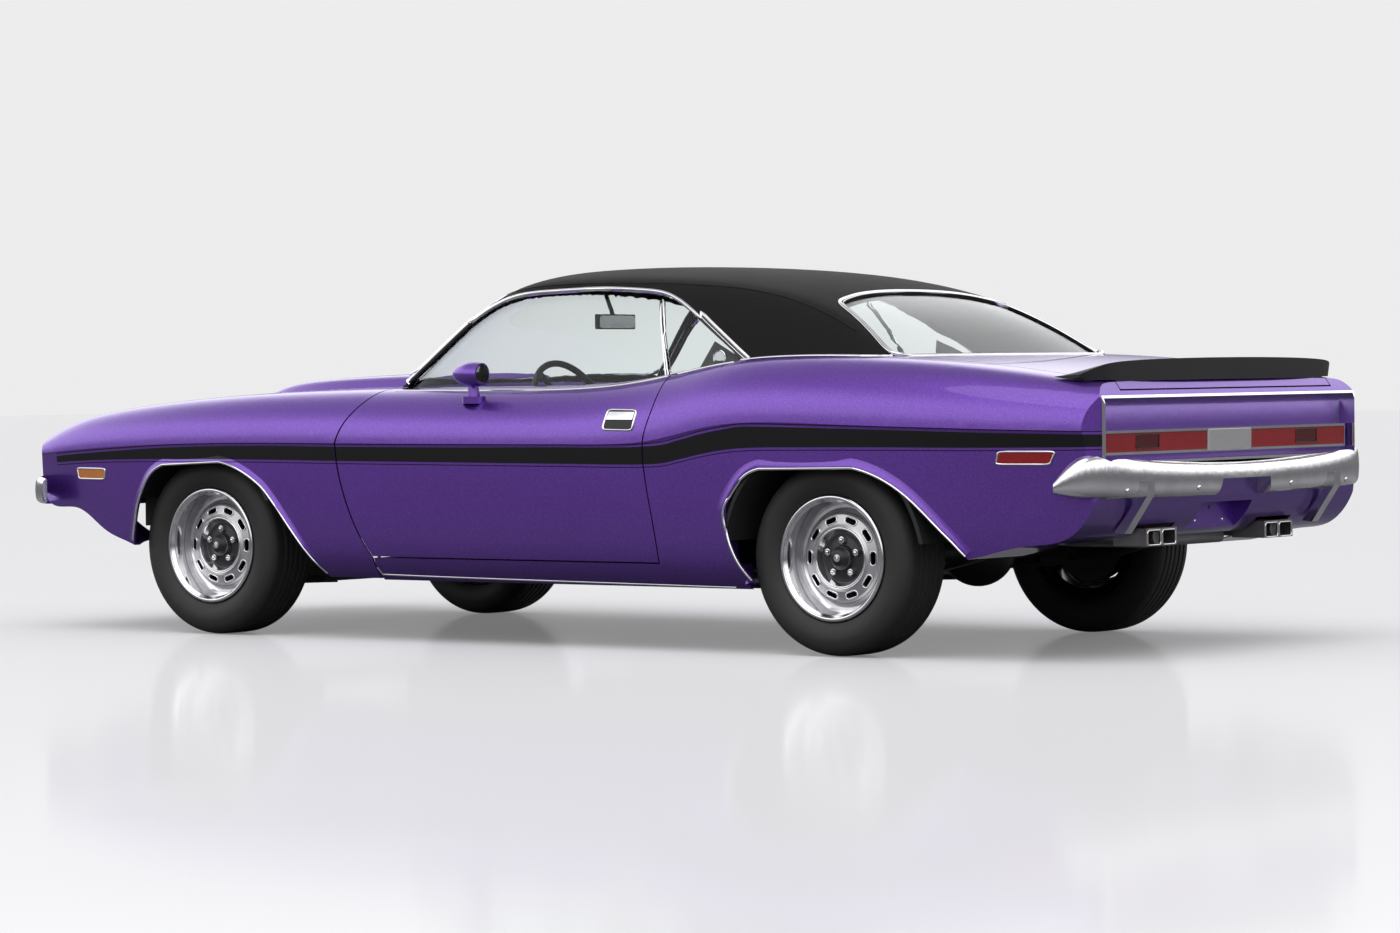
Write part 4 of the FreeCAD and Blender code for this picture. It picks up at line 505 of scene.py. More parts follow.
side_skin = {"front": skin_of("fender_left"), "door": skin_of("door_left"), "rear": skin_of("quarter_left")}
inward = (0, -1, 0)

half_length, half_width, body_height = 2.4295, 0.9665, 0.990
outside_y = 0.95
front_arch = ((1.793, .1485), (1.781, .307), (1.754, .411), (1.7225, .500), (1.640, .599), (1.4844, .6395),
              (1.3338, .6346), (1.2342, .6138), (1.1346, .5663), (1.0617, .5059), (.9184, .3336), (.7774, .1485))
rear_arch = tuple((x * half_length, z * body_height) for x, z in (
    (-.462, .150), (-.422, .313), (-.404, .447), (-.408, .512), (-.445, .609), (-.506, .637), (-.580, .640),
    (-.642, .615), (-.698, .544), (-.756, .415), (-.782, .351), (-.860, .150)))
flare_reach = {"front": 0.028, "rear": 0.040}
flare_rise = 0.0065
lip_depth = 0.012
arch_trim_width = 0.0085
flare_limit = 0.9655

flares, arch_trims = [], []
for end, outline, low, middle_x in (("front", front_arch, 0.232, 1.437), ("rear", rear_arch, 0.224, -1.357)):
    line = smooth_route(outline, 0.012)
    line = line[line[:, 1] > low]
    met = [side_skin[end].ray_cast(Vector((x + np.sign(x - middle_x) * 0.02, 1.2, z - 0.004)), Vector(inward), 0.6)[0]
           is not None for x, z in line]
    line = line[np.array(met)]
    tangent = unit(np.gradient(line, axis=0))
    away = np.stack((tangent[:, 1], -tangent[:, 0]), axis=1)
    away *= np.sign(((line - (middle_x, 0.30)) * away).sum(axis=1, keepdims=True))
    share = np.array((0.0, 0.06, 0.14, 0.25, 0.38, 0.52, 0.68, 0.85, 1.0))
    rise = np.array((0.0, 0.75, 1.0, 0.93, 0.70, 0.42, 0.18, 0.04, -0.12))
    fade = np.clip((line[:, 1] - low) / 0.10, 0.12, 1.0)[:, None]
    spread = line[:, None] + away[:, None] * (share[None, :, None] * flare_reach[end])
    points = xyz(spread[..., 0], outside_y, spread[..., 1])
    spots, normals = laid_on(side_skin[end], points.reshape(-1, 3), inward, 1)
    spots = spots.reshape(points.shape)
    spots[..., 0], spots[..., 2] = points[..., 0], points[..., 2]
    spots[..., 1] = np.minimum(spots[..., 1] + flare_rise * fade * rise, flare_limit)
    edge = spots[:, 1].copy()
    lip = np.stack([edge - (0, lip_depth * k, 0) + xyz(away[:, 0], 0 * away[:, 0], away[:, 1]) * -0.0015
                    for k in (1.0, 0.5, 0.15)], axis=1)
    flares.append((np.concatenate((lip, spots[:, 1:]), axis=1), False, False))
    out = unit(xyz(-away[:, 0], 1.0, -away[:, 1]))
    edge = np.minimum(edge, (math.inf, flare_limit - 0.0005, math.inf))
    arch_trims.append(strip(edge, out, arch_trim_width, 0.0028, 0.004))
build("wheel_opening_flares", flares, side_paint, "body_paint", facing=(0, 1, 0), mirror=True)
trim("wheel_opening_mouldings", arch_trims, mirror=True)

# Side mouldings
# A thin bright moulding runs along the foot of each sill between the wheels, and another along the top edge of
# each door and quarter panel, just outside the glass. All are clipped on.

sill_line = smooth_route(((.760, .240), (.40, .2335), (-.20, .2275), (-.80, .2225), (-.972, .2215)), 0.03)
spots, normals = laid_on(side_skin["rear"], xyz(sill_line[:, 0], outside_y, sill_line[:, 1]), inward)
spots[:, 1] = np.minimum(spots[:, 1], flare_limit - 0.003)
trim("sill_mouldings", [strip(spots, normals, 0.009, 0.0028, 0.003)], mirror=True)

belt_line = np.array(((.600, .910), (.483, .902), (.283, .896), (.052, .891), (-.176, .890), (-.400, .902),
                      (-.511, .914), (-.604, .931), (-.729, .952), (-.837, .968), (-.925, .982)))


def on_doors(name, grids, material=chrome, slot="bright_trim", facing=None):
    """The same piece on the left door and, mirrored, on the right one. An open sheet faces outwards."""
    for side, sign in (("left", 1), ("right", -1)):
        build(name + "_" + side, [(grid * (1, sign, 1), a, b) for grid, a, b in grids], material, slot,
              body="door_" + side, facing=facing and (0, sign * facing, 0))


def belt_moulding(part, low, high):
    """The moulding on the top edge of a side panel, between two lengths."""
    line = smooth_route(belt_line, 0.02)
    line = line[(line[:, 0] > low) & (line[:, 0] < high)]
    spots, normals = laid_on(side_skin[part], xyz(line[:, 0], 0.83, line[:, 1] + 0.05), (0, -0.25, -1))
    return strip(spots, normals, 0.011, 0.0035, 0.003)


on_doors("belt_moulding", [belt_moulding("door", -.655, .60)])
trim("belt_mouldings_rear", [belt_moulding("rear", -.93, -.668)], mirror=True)

# Drip rails
# A bright rail is folded over the gutter above the side windows, from the cowl over the roof to the rear corner
# of the quarter glass. A dark groove parts it from a thinner bright edge, and a black rubber seal lies within.


def mottled(name, first, second, cells, gloss_cells, smooth, span, grain_cells, grain, **values):
    """A coat between two colours, with its own noise for the colour, for the roughness and for the grain."""
    material, shader, coordinate = new_material(name)
    feed(shader, Base_Color=blend_colours(noise(coordinate, cells), first, second),
         Roughness=maths("MULTIPLY_ADD", noise(coordinate, gloss_cells), span, smooth),
         Normal=bump(noise(coordinate, grain_cells), grain), **values)
    return material


rubber = mottled("seal_rubber", (0.010, 0.010, 0.010), (0.022, 0.022, 0.021), 22.0, 260.0, 0.45, 0.2, 260.0, 0.0002)

window_edge = np.array(((.7289, .7908), (.5977, .8962), (.4738, 1.0135), (.3620, 1.1203), (.26, 1.1875),
                        (.1458, 1.2205), (0, 1.2310), (-.2259, 1.2363), (-.3936, 1.2284), (-.498, 1.2152),
                        (-.5977, 1.177), (-.7361, 1.0913), (-.9038, .9845), (-1.0204, .9094), (-1.2148, .7908)))
window_line = smooth_route(window_edge, 0.014)
tangent = unit(np.gradient(window_line, axis=0))
outside = np.stack((-tangent[:, 1], tangent[:, 0]), axis=1)
outside *= np.sign(((window_line - (-.15, 0.9)) * outside).sum(axis=1, keepdims=True))
roof_skin = skin_of("roof")


def beside_window(offset, foot=0.912, rear_foot=0.975):
    """The window's edge moved outwards by the offset, laid on the roof and cut off above the body."""
    line = window_line + outside * offset
    line = line[line[:, 1] > np.where(line[:, 0] > 0, foot, rear_foot)]
    points = xyz(line[:, 0], 0.80, line[:, 1])
    way = xyz(0 * line[:, 0], -1.0, np.where(line[:, 1] > 1.15, -0.35, 0))
    return laid_on(roof_skin, points, way, 9)


rails, seals = [], []
for offset, width, height, gathered in ((0.017, 0.014, 0.0085, rails), (0.0045, 0.006, 0.006, rails),
                                        (0.0095, 0.007, 0.0015, seals), (-0.0035, 0.009, 0.003, seals)):
    spots, normals = beside_window(offset)
    gathered.append(strip(spots, normals, width, height, 0.006))
trim("drip_rails", rails, mirror=True)
build("window_seals", seals, rubber, "grille_black", mirror=True)

# Rear edge of the door glass
# A bright channel edges the rear of each door's glass, and the front of the quarter glass beside it, with a
# dark rubber between them.

split_high, split_low = np.array((-.470, .600, 1.194)), np.array((-.596, .820, .931))
glass_skins = skin_of("door_glass_left", "fixed_glass")
steps = np.linspace(0.02, 0.97, 24)[:, None]
split = split_low + (split_high - split_low) * steps
channels = []
for shift, width, height in ((-0.007, 0.0065, 0.0035), (0.007, 0.0065, 0.0035), (0.0, 0.008, 0.0012)):
    spots, normals = laid_on(glass_skins, split + (shift, 0.10, 0.035), (0, -1, -0.35), 7)
    channels.append(strip(spots, normals, width, height, 0.006))
trim("quarter_glass_channels", [channels[0]], mirror=True)
build("quarter_glass_seals", [channels[2]], rubber, "grille_black", mirror=True)
on_doors("door_glass_channel", [channels[1]])

# Windshield and rear window surrounds
# A bright moulding frames both windows, with a dark seal between it and the glass.

shield_top = ((.134, 0), (.128, .36), (.112, .59))
shield_foot = ((.240, .745), (.298, .42), (.316, 0))
back_top = ((-.452, 0), (-.456, .30), (-.468, .51))
back_foot = ((-.603, .661), (-.622, .36), (-.628, 0))
upper_skin = skin_of("roof", "deck_filler", "cowl_panel", "quarter_left", "quarter_right", "fender_left",
                     "fender_right", "fixed_glass")


def ring_of(top, foot):
    """The whole outline seen from above, from its half: its upper edge, its side and its lower edge."""
    half = np.array(top + foot) * (half_length, half_width)
    edge_a = smooth_route(np.vstack(((half[1:3] * (1, -1))[::-1], half[:3])), 0.02)
    edge_b = smooth_route(np.vstack((half[3:], (half[3:5] * (1, -1))[::-1])), 0.02)
    side = np.linspace(edge_a[-1], edge_b[0], 22)[1:-1]
    return np.vstack((edge_a, side, edge_b, (side * (1, -1))[::-1]))


def round_window(top, foot, offset, width, height):
    """A moulding round a window, moved outwards in plan by the offset."""
    ring = ring_of(top, foot)
    for _ in range(3):
        ring = (np.roll(ring, 1, axis=0) + 2 * ring + np.roll(ring, -1, axis=0)) / 4
    along = unit(np.roll(ring, -1, axis=0) - np.roll(ring, 1, axis=0))
    away = np.stack((along[:, 1], -along[:, 0]), axis=1)
    away *= np.sign(((ring - ring.mean(axis=0)) * away).sum())
    ring = ring + away * offset
    points = np.column_stack((ring, np.full(len(ring), 1.25)))
    spots, normals = laid_on(upper_skin, points, (0, 0, -1), 7)
    height_run = np.pad(spots[:, 2], 4, mode="wrap")
    spots[:, 2] = np.maximum(spots[:, 2], np.convolve(height_run, np.ones(9) / 9, mode="valid"))
    return strip(spots, normals, width, height, 0.006, True)


trim("rear_window_moulding", [round_window(back_top, back_foot, 0.014, 0.013, 0.005),
                              round_window(back_top, back_foot, 0.003, 0.004, 0.003)])
build("rear_window_seal", [round_window(back_top, back_foot, 0.006, 0.007, 0.0016)], rubber, "grille_black")
trim("windshield_moulding", [round_window(shield_top, shield_foot, 0.010, 0.012, 0.004)])
build("windshield_seal", [round_window(shield_top, shield_foot, 0.002, 0.007, 0.0018)], rubber, "grille_black")

# Vinyl roof
# Grained black vinyl is glued over the roof and its sail panels. Two raised seams run from the windshield along
# the roof and down the sails, and a bright moulding covers the vinyl's lower edge. Cloth lines the inside.

seam_line = ((.20, .598, 1.27), (-.30, .600, 1.27), (-.619, .600, 1.266), (-.847, .600, 1.250), (-1.071, .602, 1.154),
             (-1.290, .612, 1.011))


def cell_distance(coordinate, scale, spread=1.0):
    """The distance from the middle of round cells, so many a metre."""
    return node(coordinate, "ShaderNodeTexVoronoi", {"Vector": coordinate, "Scale": scale,
                                                     "Randomness": spread}).outputs["Distance"]


vinyl, shader, coordinate = new_material("vinyl_roof")
crackle = smooth_step(cell_distance(coordinate, 330.0, 0.9), 0.15, 0.75)
hide = maths("MULTIPLY_ADD", noise(coordinate, 700.0), 0.25, maths("MULTIPLY", crackle, 0.75))
faded = noise(coordinate, 3.0)
lined = maths("LESS_THAN", normal_of(shader)["Z"], -0.15)
black = blend_colours(faded, (0.010, 0.010, 0.0105), (0.016, 0.016, 0.0165))
black = blend_colours(maths("MULTIPLY", crackle, 0.55), black, (0.010, 0.010, 0.010))
feed(shader, Base_Color=blend_colours(lined, black, (0.045, 0.045, 0.047)),
     Roughness=maths("MULTIPLY_ADD", lined, 0.30, maths("MULTIPLY_ADD", faded, 0.10, 0.56)), Specular_IOR_Level=0.08,
     Normal=bump(hide, -0.0007, 0.8))
dress(("roof",), vinyl)

route = smooth_route(seam_line, 0.02)
spots, normals = laid_on(roof_skin, route, (0, -0.25, -1), 7)
build("vinyl_seams", [strip(spots, normals, 0.010, 0.0022, 0.003)], vinyl, "vinyl_roof", mirror=True)
body_top = skin_of("quarter_left", "deck_filler")
base_line = smooth_route(((-.900, .747), (-1.000, .741), (-1.100, .735), (-1.200, .729), (-1.300, .719),
                          (-1.380, .702), (-1.433, .675), (-1.450, .640)), 0.014)
spots, normals = laid_on(body_top, np.column_stack((base_line, np.full(len(base_line), 1.25))), (0, 0, -1), 7)
trim("vinyl_base_mouldings", [strip(spots, normals, 0.010, 0.0045, 0.003)], mirror=True)

# Glass
# The windows are tempered glass with a faint green tint. Dust lies thinly on it.

glass, shader, coordinate = new_material("window_glass")
dust = noise(coordinate, 5.0, 5.0)
feed(shader, Base_Color=blend_colours(dust, (0.90, 0.945, 0.935), (0.93, 0.96, 0.955)),
     Roughness=maths("MULTIPLY", smooth_step(dust, 0.5, 0.9), 0.02), Transmission_Weight=1.0, IOR=1.25,
     Normal=bump(noise(coordinate, 3.0), 0.0002))
dress(("fixed_glass", "door_glass_left", "door_glass_right"), glass)

# Tyres
# Four black road tyres with plain sidewalls. The tread has five grooves round it with fine cuts across its
# ribs, and shallow rings run round each sidewall.

wheel_radius = 0.326
rim_radius = 0.208
wheel_width = 0.2362
front_hub, rear_hub = 1.437, -1.357
wheel_centres = {"front_left": (front_hub, 0.758), "front_right": (front_hub, -0.758), "rear_left": (rear_hub, 0.771),
                 "rear_right": (rear_hub, -0.771)}
tyre_half = ((.612, .355), (.640, .375), (.660, .43), (.74, .485), (.83, .499), (.915, .465), (.965, .408),
             (.990, .335), (.998, .20), (.999, 0))
groove_places = (0.0, 0.0285, -0.0285, 0.057, -0.057)
groove_half = 0.0032
groove_depth = 0.0065
turns_round = 128


def ridges(coordinate, count):
    """Even ridges from 0 to 0.5 and back across a coordinate, so many pairs of flanks a metre."""
    return maths("PINGPONG", maths("MULTIPLY", coordinate, count), 0.5)


def around_hub(x, z):
    """The way ahead of and above the nearest wheel's hub, and the distance from it."""
    ahead = maths("MULTIPLY_ADD", maths("GREATER_THAN", x, 0.0), front_hub - rear_hub, rear_hub)
    along, above = maths("SUBTRACT", x, ahead), maths("SUBTRACT", z, wheel_radius)
    return along, above, maths("SQRT", maths("ADD", maths("MULTIPLY", along, along), maths("MULTIPLY", above, above)))


tyre_black, shader, coordinate = new_material("tyre_rubber")
x, y, z = parts_of(coordinate)
from_hub, above_hub, radius = around_hub(x, z)
turn = maths("DIVIDE", maths("ARCTAN2", above_hub, from_hub), 2 * math.pi)
cut = maths("PINGPONG", maths("ADD", maths("MULTIPLY", turn, 190.0), maths("MULTIPLY", y, 55.0)), 0.5)
cut = maths("MULTIPLY", smooth_step(cut, 0.10, 0.0), smooth_step(radius, 0.316, 0.320))
rings = maths("MULTIPLY", ridges(radius, 260.0), band(radius, 0.286, 0.309, 0.003))
speckle = noise(coordinate, 320.0)
worn = maths("MULTIPLY", smooth_step(radius, 0.322, 0.326), 0.6)
black = blend_colours(noise(coordinate, 9.0), (0.022, 0.022, 0.022), (0.032, 0.031, 0.030))
relief = maths("SUBTRACT", maths("MULTIPLY_ADD", speckle, 0.15, maths("MULTIPLY", rings, 0.6)), cut)
feed(shader, Base_Color=blend_colours(worn, black, (0.045, 0.043, 0.041)),
     Roughness=maths("MULTIPLY_ADD", speckle, 0.15, 0.55), Normal=bump(relief, 0.0012))

half = smooth_route(np.array(tyre_half) * (wheel_radius, wheel_width), 0.0024)
profile = np.vstack((half, half[::-1][1:] * (1, -1)))
profile = np.vstack((profile, np.linspace(profile[-1], profile[0], 12)[1:-1]))
grooved = profile[:, 0] - groove_depth * sum(np.clip(1.6 - np.abs(profile[:, 1] - spot) / groove_half, 0, 1)
                                             for spot in groove_places) * (profile[:, 0] > 0.32)
grooved += 0.0010 * np.exp(-((profile[:, 0] - 0.222) / 0.0018) ** 2)
turned = circle(turns_round)[:, None]
for corner, (hub_x, hub_y) in wheel_centres.items():
    hoop = xyz(hub_x + np.cos(turned) * grooved, hub_y + profile[:, 1], wheel_radius + np.sin(turned) * grooved)
    tyre = build("tyre_tread_" + corner, [(hoop, True, True)], tyre_black, "tyre_rubber", body="wheel_" + corner)
    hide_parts("tyre_" + corner)

# Rims
# Pressed steel wheels: a polished outer lip and barrel, a silver disc with ten slots rolled at their edges, a
# bright ring round a dark dish with five domed nuts, and a dark cone with a bright tip.

rim_face = ((0, .320), (.055, .315), (.130, .290), (.185, .235), (.210, .150), (.330, .130), (.400, .130),
            (.455, .225), (.500, .235), (.540, .215), (.690, .185), (.745, .135), (.800, .075), (.850, .08),
            (.865, .20), (.905, .395), (.955, .440), (.985, .455), (1.005, .445))
slot_ring = 0.615 * rim_radius
slot_round = 0.052 * rim_radius
slot_straight = 0.062 * rim_radius
nut_ring = 0.285 * rim_radius
nut_size = 0.0112
nut_foot = 0.146 * wheel_width
nut_height = 0.0215

rally, shader, coordinate = new_material("rally_rim")
x, y, z = parts_of(coordinate)
radius = around_hub(x, z)[2]
worn = use(polish_film, Place=coordinate, Cells=30.0)
silver = band(radius, 0.104, 0.166, 0.0010)
dish = band(radius, 0.0385, 0.083, 0.0010)
cone = band(radius, 0.012, 0.0385, 0.0010)
colour = blend_colours(worn["Film"], (0.82, 0.82, 0.83), (0.70, 0.70, 0.72))
# The rim's inboard half, behind the disc, is painted dark grey as painted shade inside the wheel, which darkens what
# shows through the slots.
for area, coat in ((silver, (0.50, 0.50, 0.51)), (band(radius, 0.1505, 0.1525, 0.0004), (0.16, 0.16, 0.165)),
                   (band(radius, 0.083, 0.104, 0.0010), (0.72, 0.72, 0.73)), (dish, (0.045, 0.045, 0.048)),
                   (cone, (0.030, 0.030, 0.032)),
                   (maths("LESS_THAN", maths("ABSOLUTE", y), 0.762), (0.10, 0.10, 0.10))):
    colour = blend_colours(area, colour, coat)
dark = maths("MAXIMUM", dish, cone)
feed(shader, Base_Color=colour, Metallic=maths("MULTIPLY_ADD", dark, -0.6, 0.95), Normal=bump(worn["Height"], 0.00003),
     Roughness=maths("MULTIPLY_ADD", maths("MAXIMUM", silver, dark), 0.27,
                     maths("MULTIPLY_ADD", worn["Film"], 0.08, 0.07)))
dress(("rim_front_left", "rim_front_right", "rim_rear_left", "rim_rear_right"), rally)


def on_wheel(along, up, out, hub_x, hub_y):
    """Points given along and up from the hub and outwards from the wheel's middle plane, in the car's frame."""
    side = np.sign(hub_y)
    return xyz(hub_x + along, hub_y + side * out, wheel_radius + up)


face_radius, face_out = np.array(rim_face).T * np.array([[rim_radius], [wheel_width]])
lip_turn = circle(40)
lip_along = np.cos(lip_turn) * slot_round + np.sign(np.cos(lip_turn)) * slot_straight
lip_up = slot_ring + np.sin(lip_turn) * slot_round
nut_turn = circle(24)
nut_rise = np.array((0, 0.25, 0.6, 0.62, 0.80, 0.93, 1.0, 1.0))
nut_wide = np.array((1.0, 1.0, 0.96, 0.74, 0.66, 0.45, 0.18, 0.0))
hexagon = 1 / np.cos((nut_turn + math.pi / 6) % (math.pi / 3) - math.pi / 6)
ring_turn = circle(96)
for corner, (hub_x, hub_y) in wheel_centres.items():
    side = np.sign(hub_y)
    lips, nuts = [], []
    for k in range(10):
        lean = 2 * math.pi / 10 * (k + 0.5)
        along = lip_along * math.cos(lean) + lip_up * math.sin(lean)
        up = lip_up * math.cos(lean) - lip_along * math.sin(lean)
        out = np.interp(np.hypot(along, up), face_radius, face_out)
        route = on_wheel(along, up, out, hub_x, hub_y)
        lips.append(strip(route, (0, side, 0), 0.0052, 0.0030, 0.002, True))
    for k in range(5):
        lean = 2 * math.pi / 5 * k
        spread = nut_size * nut_wide[:, None] * np.where(nut_rise[:, None] < 0.61, hexagon, 1.0)
        along = math.sin(lean) * nut_ring + np.cos(nut_turn) * spread
        up = math.cos(lean) * nut_ring + np.sin(nut_turn) * spread
        out = np.broadcast_to((nut_foot + nut_rise * nut_height)[:, None], along.shape)
        nuts.append((on_wheel(along, up, out, hub_x, hub_y), False, True))
    build("slot_lips_" + corner, lips, chrome, "rally_rim", body="wheel_" + corner)
    build("wheel_nuts_" + corner, nuts, chrome, "rally_rim", body="wheel_" + corner)
    rings = []
    for share, width, height in ((0.475, 0.007, 0.0025), (0.972, 0.011, 0.0022)):
        route = on_wheel(np.cos(ring_turn) * share * rim_radius, np.sin(ring_turn) * share * rim_radius,
                         np.interp(share * rim_radius, face_radius, face_out) + 0 * ring_turn, hub_x, hub_y)
        rings.append(strip(route, (0, side, 0), width, height, 0.003, True))
    build("wheel_rings_" + corner, rings, chrome, "rally_rim", body="wheel_" + corner)

# Tail lamps
# Two wide red lenses in a thin bright bezel, each with a smaller darker window, stand on both sides of a brushed
# plate with a bare face.

lens_red, shader, coordinate = new_material("red_lens")
y, z = parts_of(coordinate)[1:]
fluted = maths("MULTIPLY", ridges(y, 120.0), ridges(z, 90.0))
inner = maths("MULTIPLY", band(maths("ABSOLUTE", y), 0.444, 0.585, 0.002), band(z, 0.686, 0.731, 0.002))
colour = blend_colours(noise(coordinate, 14.0), (0.34, 0.012, 0.018), (0.42, 0.020, 0.026))
colour = blend_colours(inner, colour, (0.110, 0.004, 0.007))
feed(shader, Base_Color=colour, Roughness=maths("MULTIPLY_ADD", fluted, 0.10, 0.10), Coat_Weight=0.35,
     Specular_IOR_Level=0.3, Normal=bump(fluted, 0.0020))
dress(("tail_lamps",), lens_red)


def frame_round(y_from, y_to, z_from, z_to, x_at, corner_size, width, height, slope=0.0):
    """A moulding round a rectangle with round corners, facing the rear, leaning forward with height by the slope."""
    turn = circle(64) + 0.01
    y = (y_from + y_to) / 2 + np.sign(np.cos(turn)) * ((y_to - y_from) / 2 - corner_size) + np.cos(turn) * corner_size
    z = (z_from + z_to) / 2 + np.sign(np.sin(turn)) * ((z_to - z_from) / 2 - corner_size) + np.sin(turn) * corner_size
    route = xyz(x_at + (z - z_from) * slope, y, z)
    return strip(route, (-1.0, 0, 0), width, height, 0.004, True)


build("lamp_windows", [frame_round(0.444, 0.585, 0.686, 0.731, -2.358, 0.004, 0.0025, 0.0015)], rubber,
      "grille_black", mirror=True)

brushed, shader, coordinate = new_material("brushed_plate")
x, y, z = parts_of(coordinate)
squeezed = node(shader, "ShaderNodeCombineXYZ", {"X": x, "Y": maths("MULTIPLY", y, 0.03), "Z": z}).outputs[0]
strokes = noise(squeezed, 900.0)
feed(shader, Base_Color=blend_colours(strokes, (0.48, 0.48, 0.49), (0.66, 0.66, 0.67)),
     Roughness=maths("MULTIPLY_ADD", strokes, 0.15, 0.26), Metallic=0.9, Normal=bump(strokes, 0.0001))


def plate_face(half_y, z_from, z_to, x_back, x_face, edge):
    """A flat plate facing the rear, its rim sloped by the edge: nested rectangles joined row by row."""
    shares = ((0, x_back), (0, x_face + edge), (edge, x_face), (0.4 * half_y, x_face), (half_y, x_face))
    turn = circle(32) + 0.01
    rows = []
    for inset, x_at in shares:
        wide, tall = max(half_y - inset, 0), max((z_to - z_from) / 2 - inset, 0)
        y = np.clip(np.cos(turn) * 1.5, -1, 1) * wide
        z = (z_from + z_to) / 2 + np.clip(np.sin(turn) * 1.5, -1, 1) * tall
        rows.append(xyz(x_at + 0 * y, y, z))
    return np.array(rows), False, True


build("tail_centre_plate", [plate_face(0.138, 0.672, 0.742, -2.345, -2.3625, 0.003)], brushed, "bright_trim",
      facing=(-1, 0, 0))

# Side markers
# An amber lens at the front and a red one at the rear of each side, both in a bright slanted bezel held by
# screws from inside.

amber, shader, coordinate = new_material("amber_lens")
flutes = ridges(parts_of(coordinate)["X"], 150.0)
feed(shader, Base_Color=blend_colours(noise(coordinate, 30.0), (0.72, 0.21, 0.025), (0.86, 0.30, 0.05)),
     Roughness=maths("MULTIPLY_ADD", flutes, 0.15, 0.10), Coat_Weight=1.0, Normal=bump(flutes, 0.0012))


def shares(columns, rows):
    """The shares of the way across and up for each point of a sheet."""
    u, v = np.meshgrid(np.linspace(0, 1, columns), np.linspace(0, 1, rows))
    return u[..., None], v[..., None]


def patch(corners, skin, rise, rows=6, from_y=outside_y, way=inward):
    """A sheet over four corners of length and height, laid on a side panel and raised above it."""
    a, b, c, d = (np.array(corner) for corner in corners)
    u, v = shares(14, rows)
    flat = (a * (1 - u) + b * u) * (1 - v) + (d * (1 - u) + c * u) * v
    points = xyz(flat[..., 0], from_y, flat[..., 1])
    spots = laid_on(skin, points.reshape(-1, 3), way, 1)[0]
    return (spots + (0, rise, 0)).reshape(points.shape), False, False


def bezel(corners, skin, width, height):
    """A moulding round four corners of length and height on a side panel."""
    loop = np.array(corners, float)
    loop = np.concatenate([np.linspace(loop[k], loop[(k + 1) % 4], 9)[:-1] for k in range(4)])
    loop = (np.roll(loop, 1, axis=0) + 2 * loop + np.roll(loop, -1, axis=0)) / 4
    spots, normals = laid_on(skin, xyz(loop[:, 0], outside_y, loop[:, 1]), inward)
    return strip(spots, normals, width, height, 0.003, True)


front_marker = ((2.068, .567), (1.918, .566), (1.912, .605), (2.076, .606))
rear_marker = ((-2.030, .641), (-2.216, .641), (-2.236, .682), (-2.040, .682))
for end, corners, lens in (("front", front_marker, amber), ("rear", rear_marker, lens_red)):
    build(end + "_markers", [patch(corners, side_skin[end], 0.0022)], lens, "red_lens", facing=(0, 1, 0), mirror=True)
    trim(end + "_marker_bezels", [bezel(corners, side_skin[end], 0.0075, 0.0045)], mirror=True)

# Door handles
# A bright paddle lies flush in the upper half of a bright bezel, over a black recess for the fingers.

handle = ((-.462, .752), (-.590, .750), (-.597, .817), (-.470, .819))
paddle = ((-.470, .786), (-.587, .786), (-.591, .812), (-.476, .813))
on_doors("door_handle_recess", [patch(handle, side_skin["door"], 0.0010)], rubber, "grille_black", 1)
on_doors("door_handle_paddle", [patch(paddle, side_skin["door"], 0.0040)], facing=1)
on_doors("door_handle_bezel", [bezel(handle, side_skin["door"], 0.008, 0.005)])

# Tail and valance
# The rear valance is pressed with a recess for the number plate, with two bright screws and an open hole. Copies
# of both pressings with merged corners keep the folds of the sheet crisp.


def crisp(name, material, angle=28):
    """A copy of a node with its doubled corners merged and its folds sharp, which then stands for the node."""
    mesh = nodes[name].data.copy()
    shell = bmesh.new()
    shell.from_mesh(mesh)
    bmesh.ops.remove_doubles(shell, verts=shell.verts, dist=0.00001)
    shell.to_mesh(mesh)
    shell.free()
    if mesh.attributes.get("custom_normal"):
        mesh.attributes.remove(mesh.attributes["custom_normal"])
    mesh.polygons.foreach_set("use_smooth", [True] * len(mesh.polygons))
    mesh.set_sharp_from_angle(angle=math.radians(angle))
    mesh.materials.clear()
    mesh.materials.append(material)
    made = place_in_scene(name + "_pressing", mesh)
    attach(made, "car_body")
    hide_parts(name)


crisp("rear_valance", plain_paint)
crisp("tail_panel", plain_paint)
crisp("bumpers", chrome, 34)
tail_plane = -0.935 * half_length
dome_rise = np.array((0.0, 0.5, 0.85, 1.0, 1.0))
dome_wide = np.array((1.0, 1.0, 0.8, 0.4, 0.0))
dome_turn = circle(16)


def rounds(centre, side, top, way, wide, out, turn):
    """A turned head: circles about a way, one for each pair of radius and distance out from the centre."""
    ring = np.cos(turn)[:, None] * side + np.sin(turn)[:, None] * top
    wide, out = np.array(wide)[:, None, None], np.array(out)[:, None, None]
    return np.array(centre) + ring * wide + np.array(way) * out, False, True


def dome(centre, radius, rise, way=(-1, 0, 0)):
    """A low round head facing a way."""
    side = unit(np.cross(way, (0, 0.3, 1)))
    return rounds(centre, side, np.cross(side, way), way, dome_wide * radius, dome_rise * rise, dome_turn)


def struck(skin, start, way):
    """Where a ray from the start first meets a skin."""
    return skin.ray_cast(Vector(start), Vector(way), 1.2)[0]


def on_rear(skin, y, z):
    """Where a ray from behind the car meets a skin, or the tail's plane where it passes beside it."""
    return struck(skin, (-2.6, y, z), (1, 0, 0)) or Vector((tail_plane, y, z))


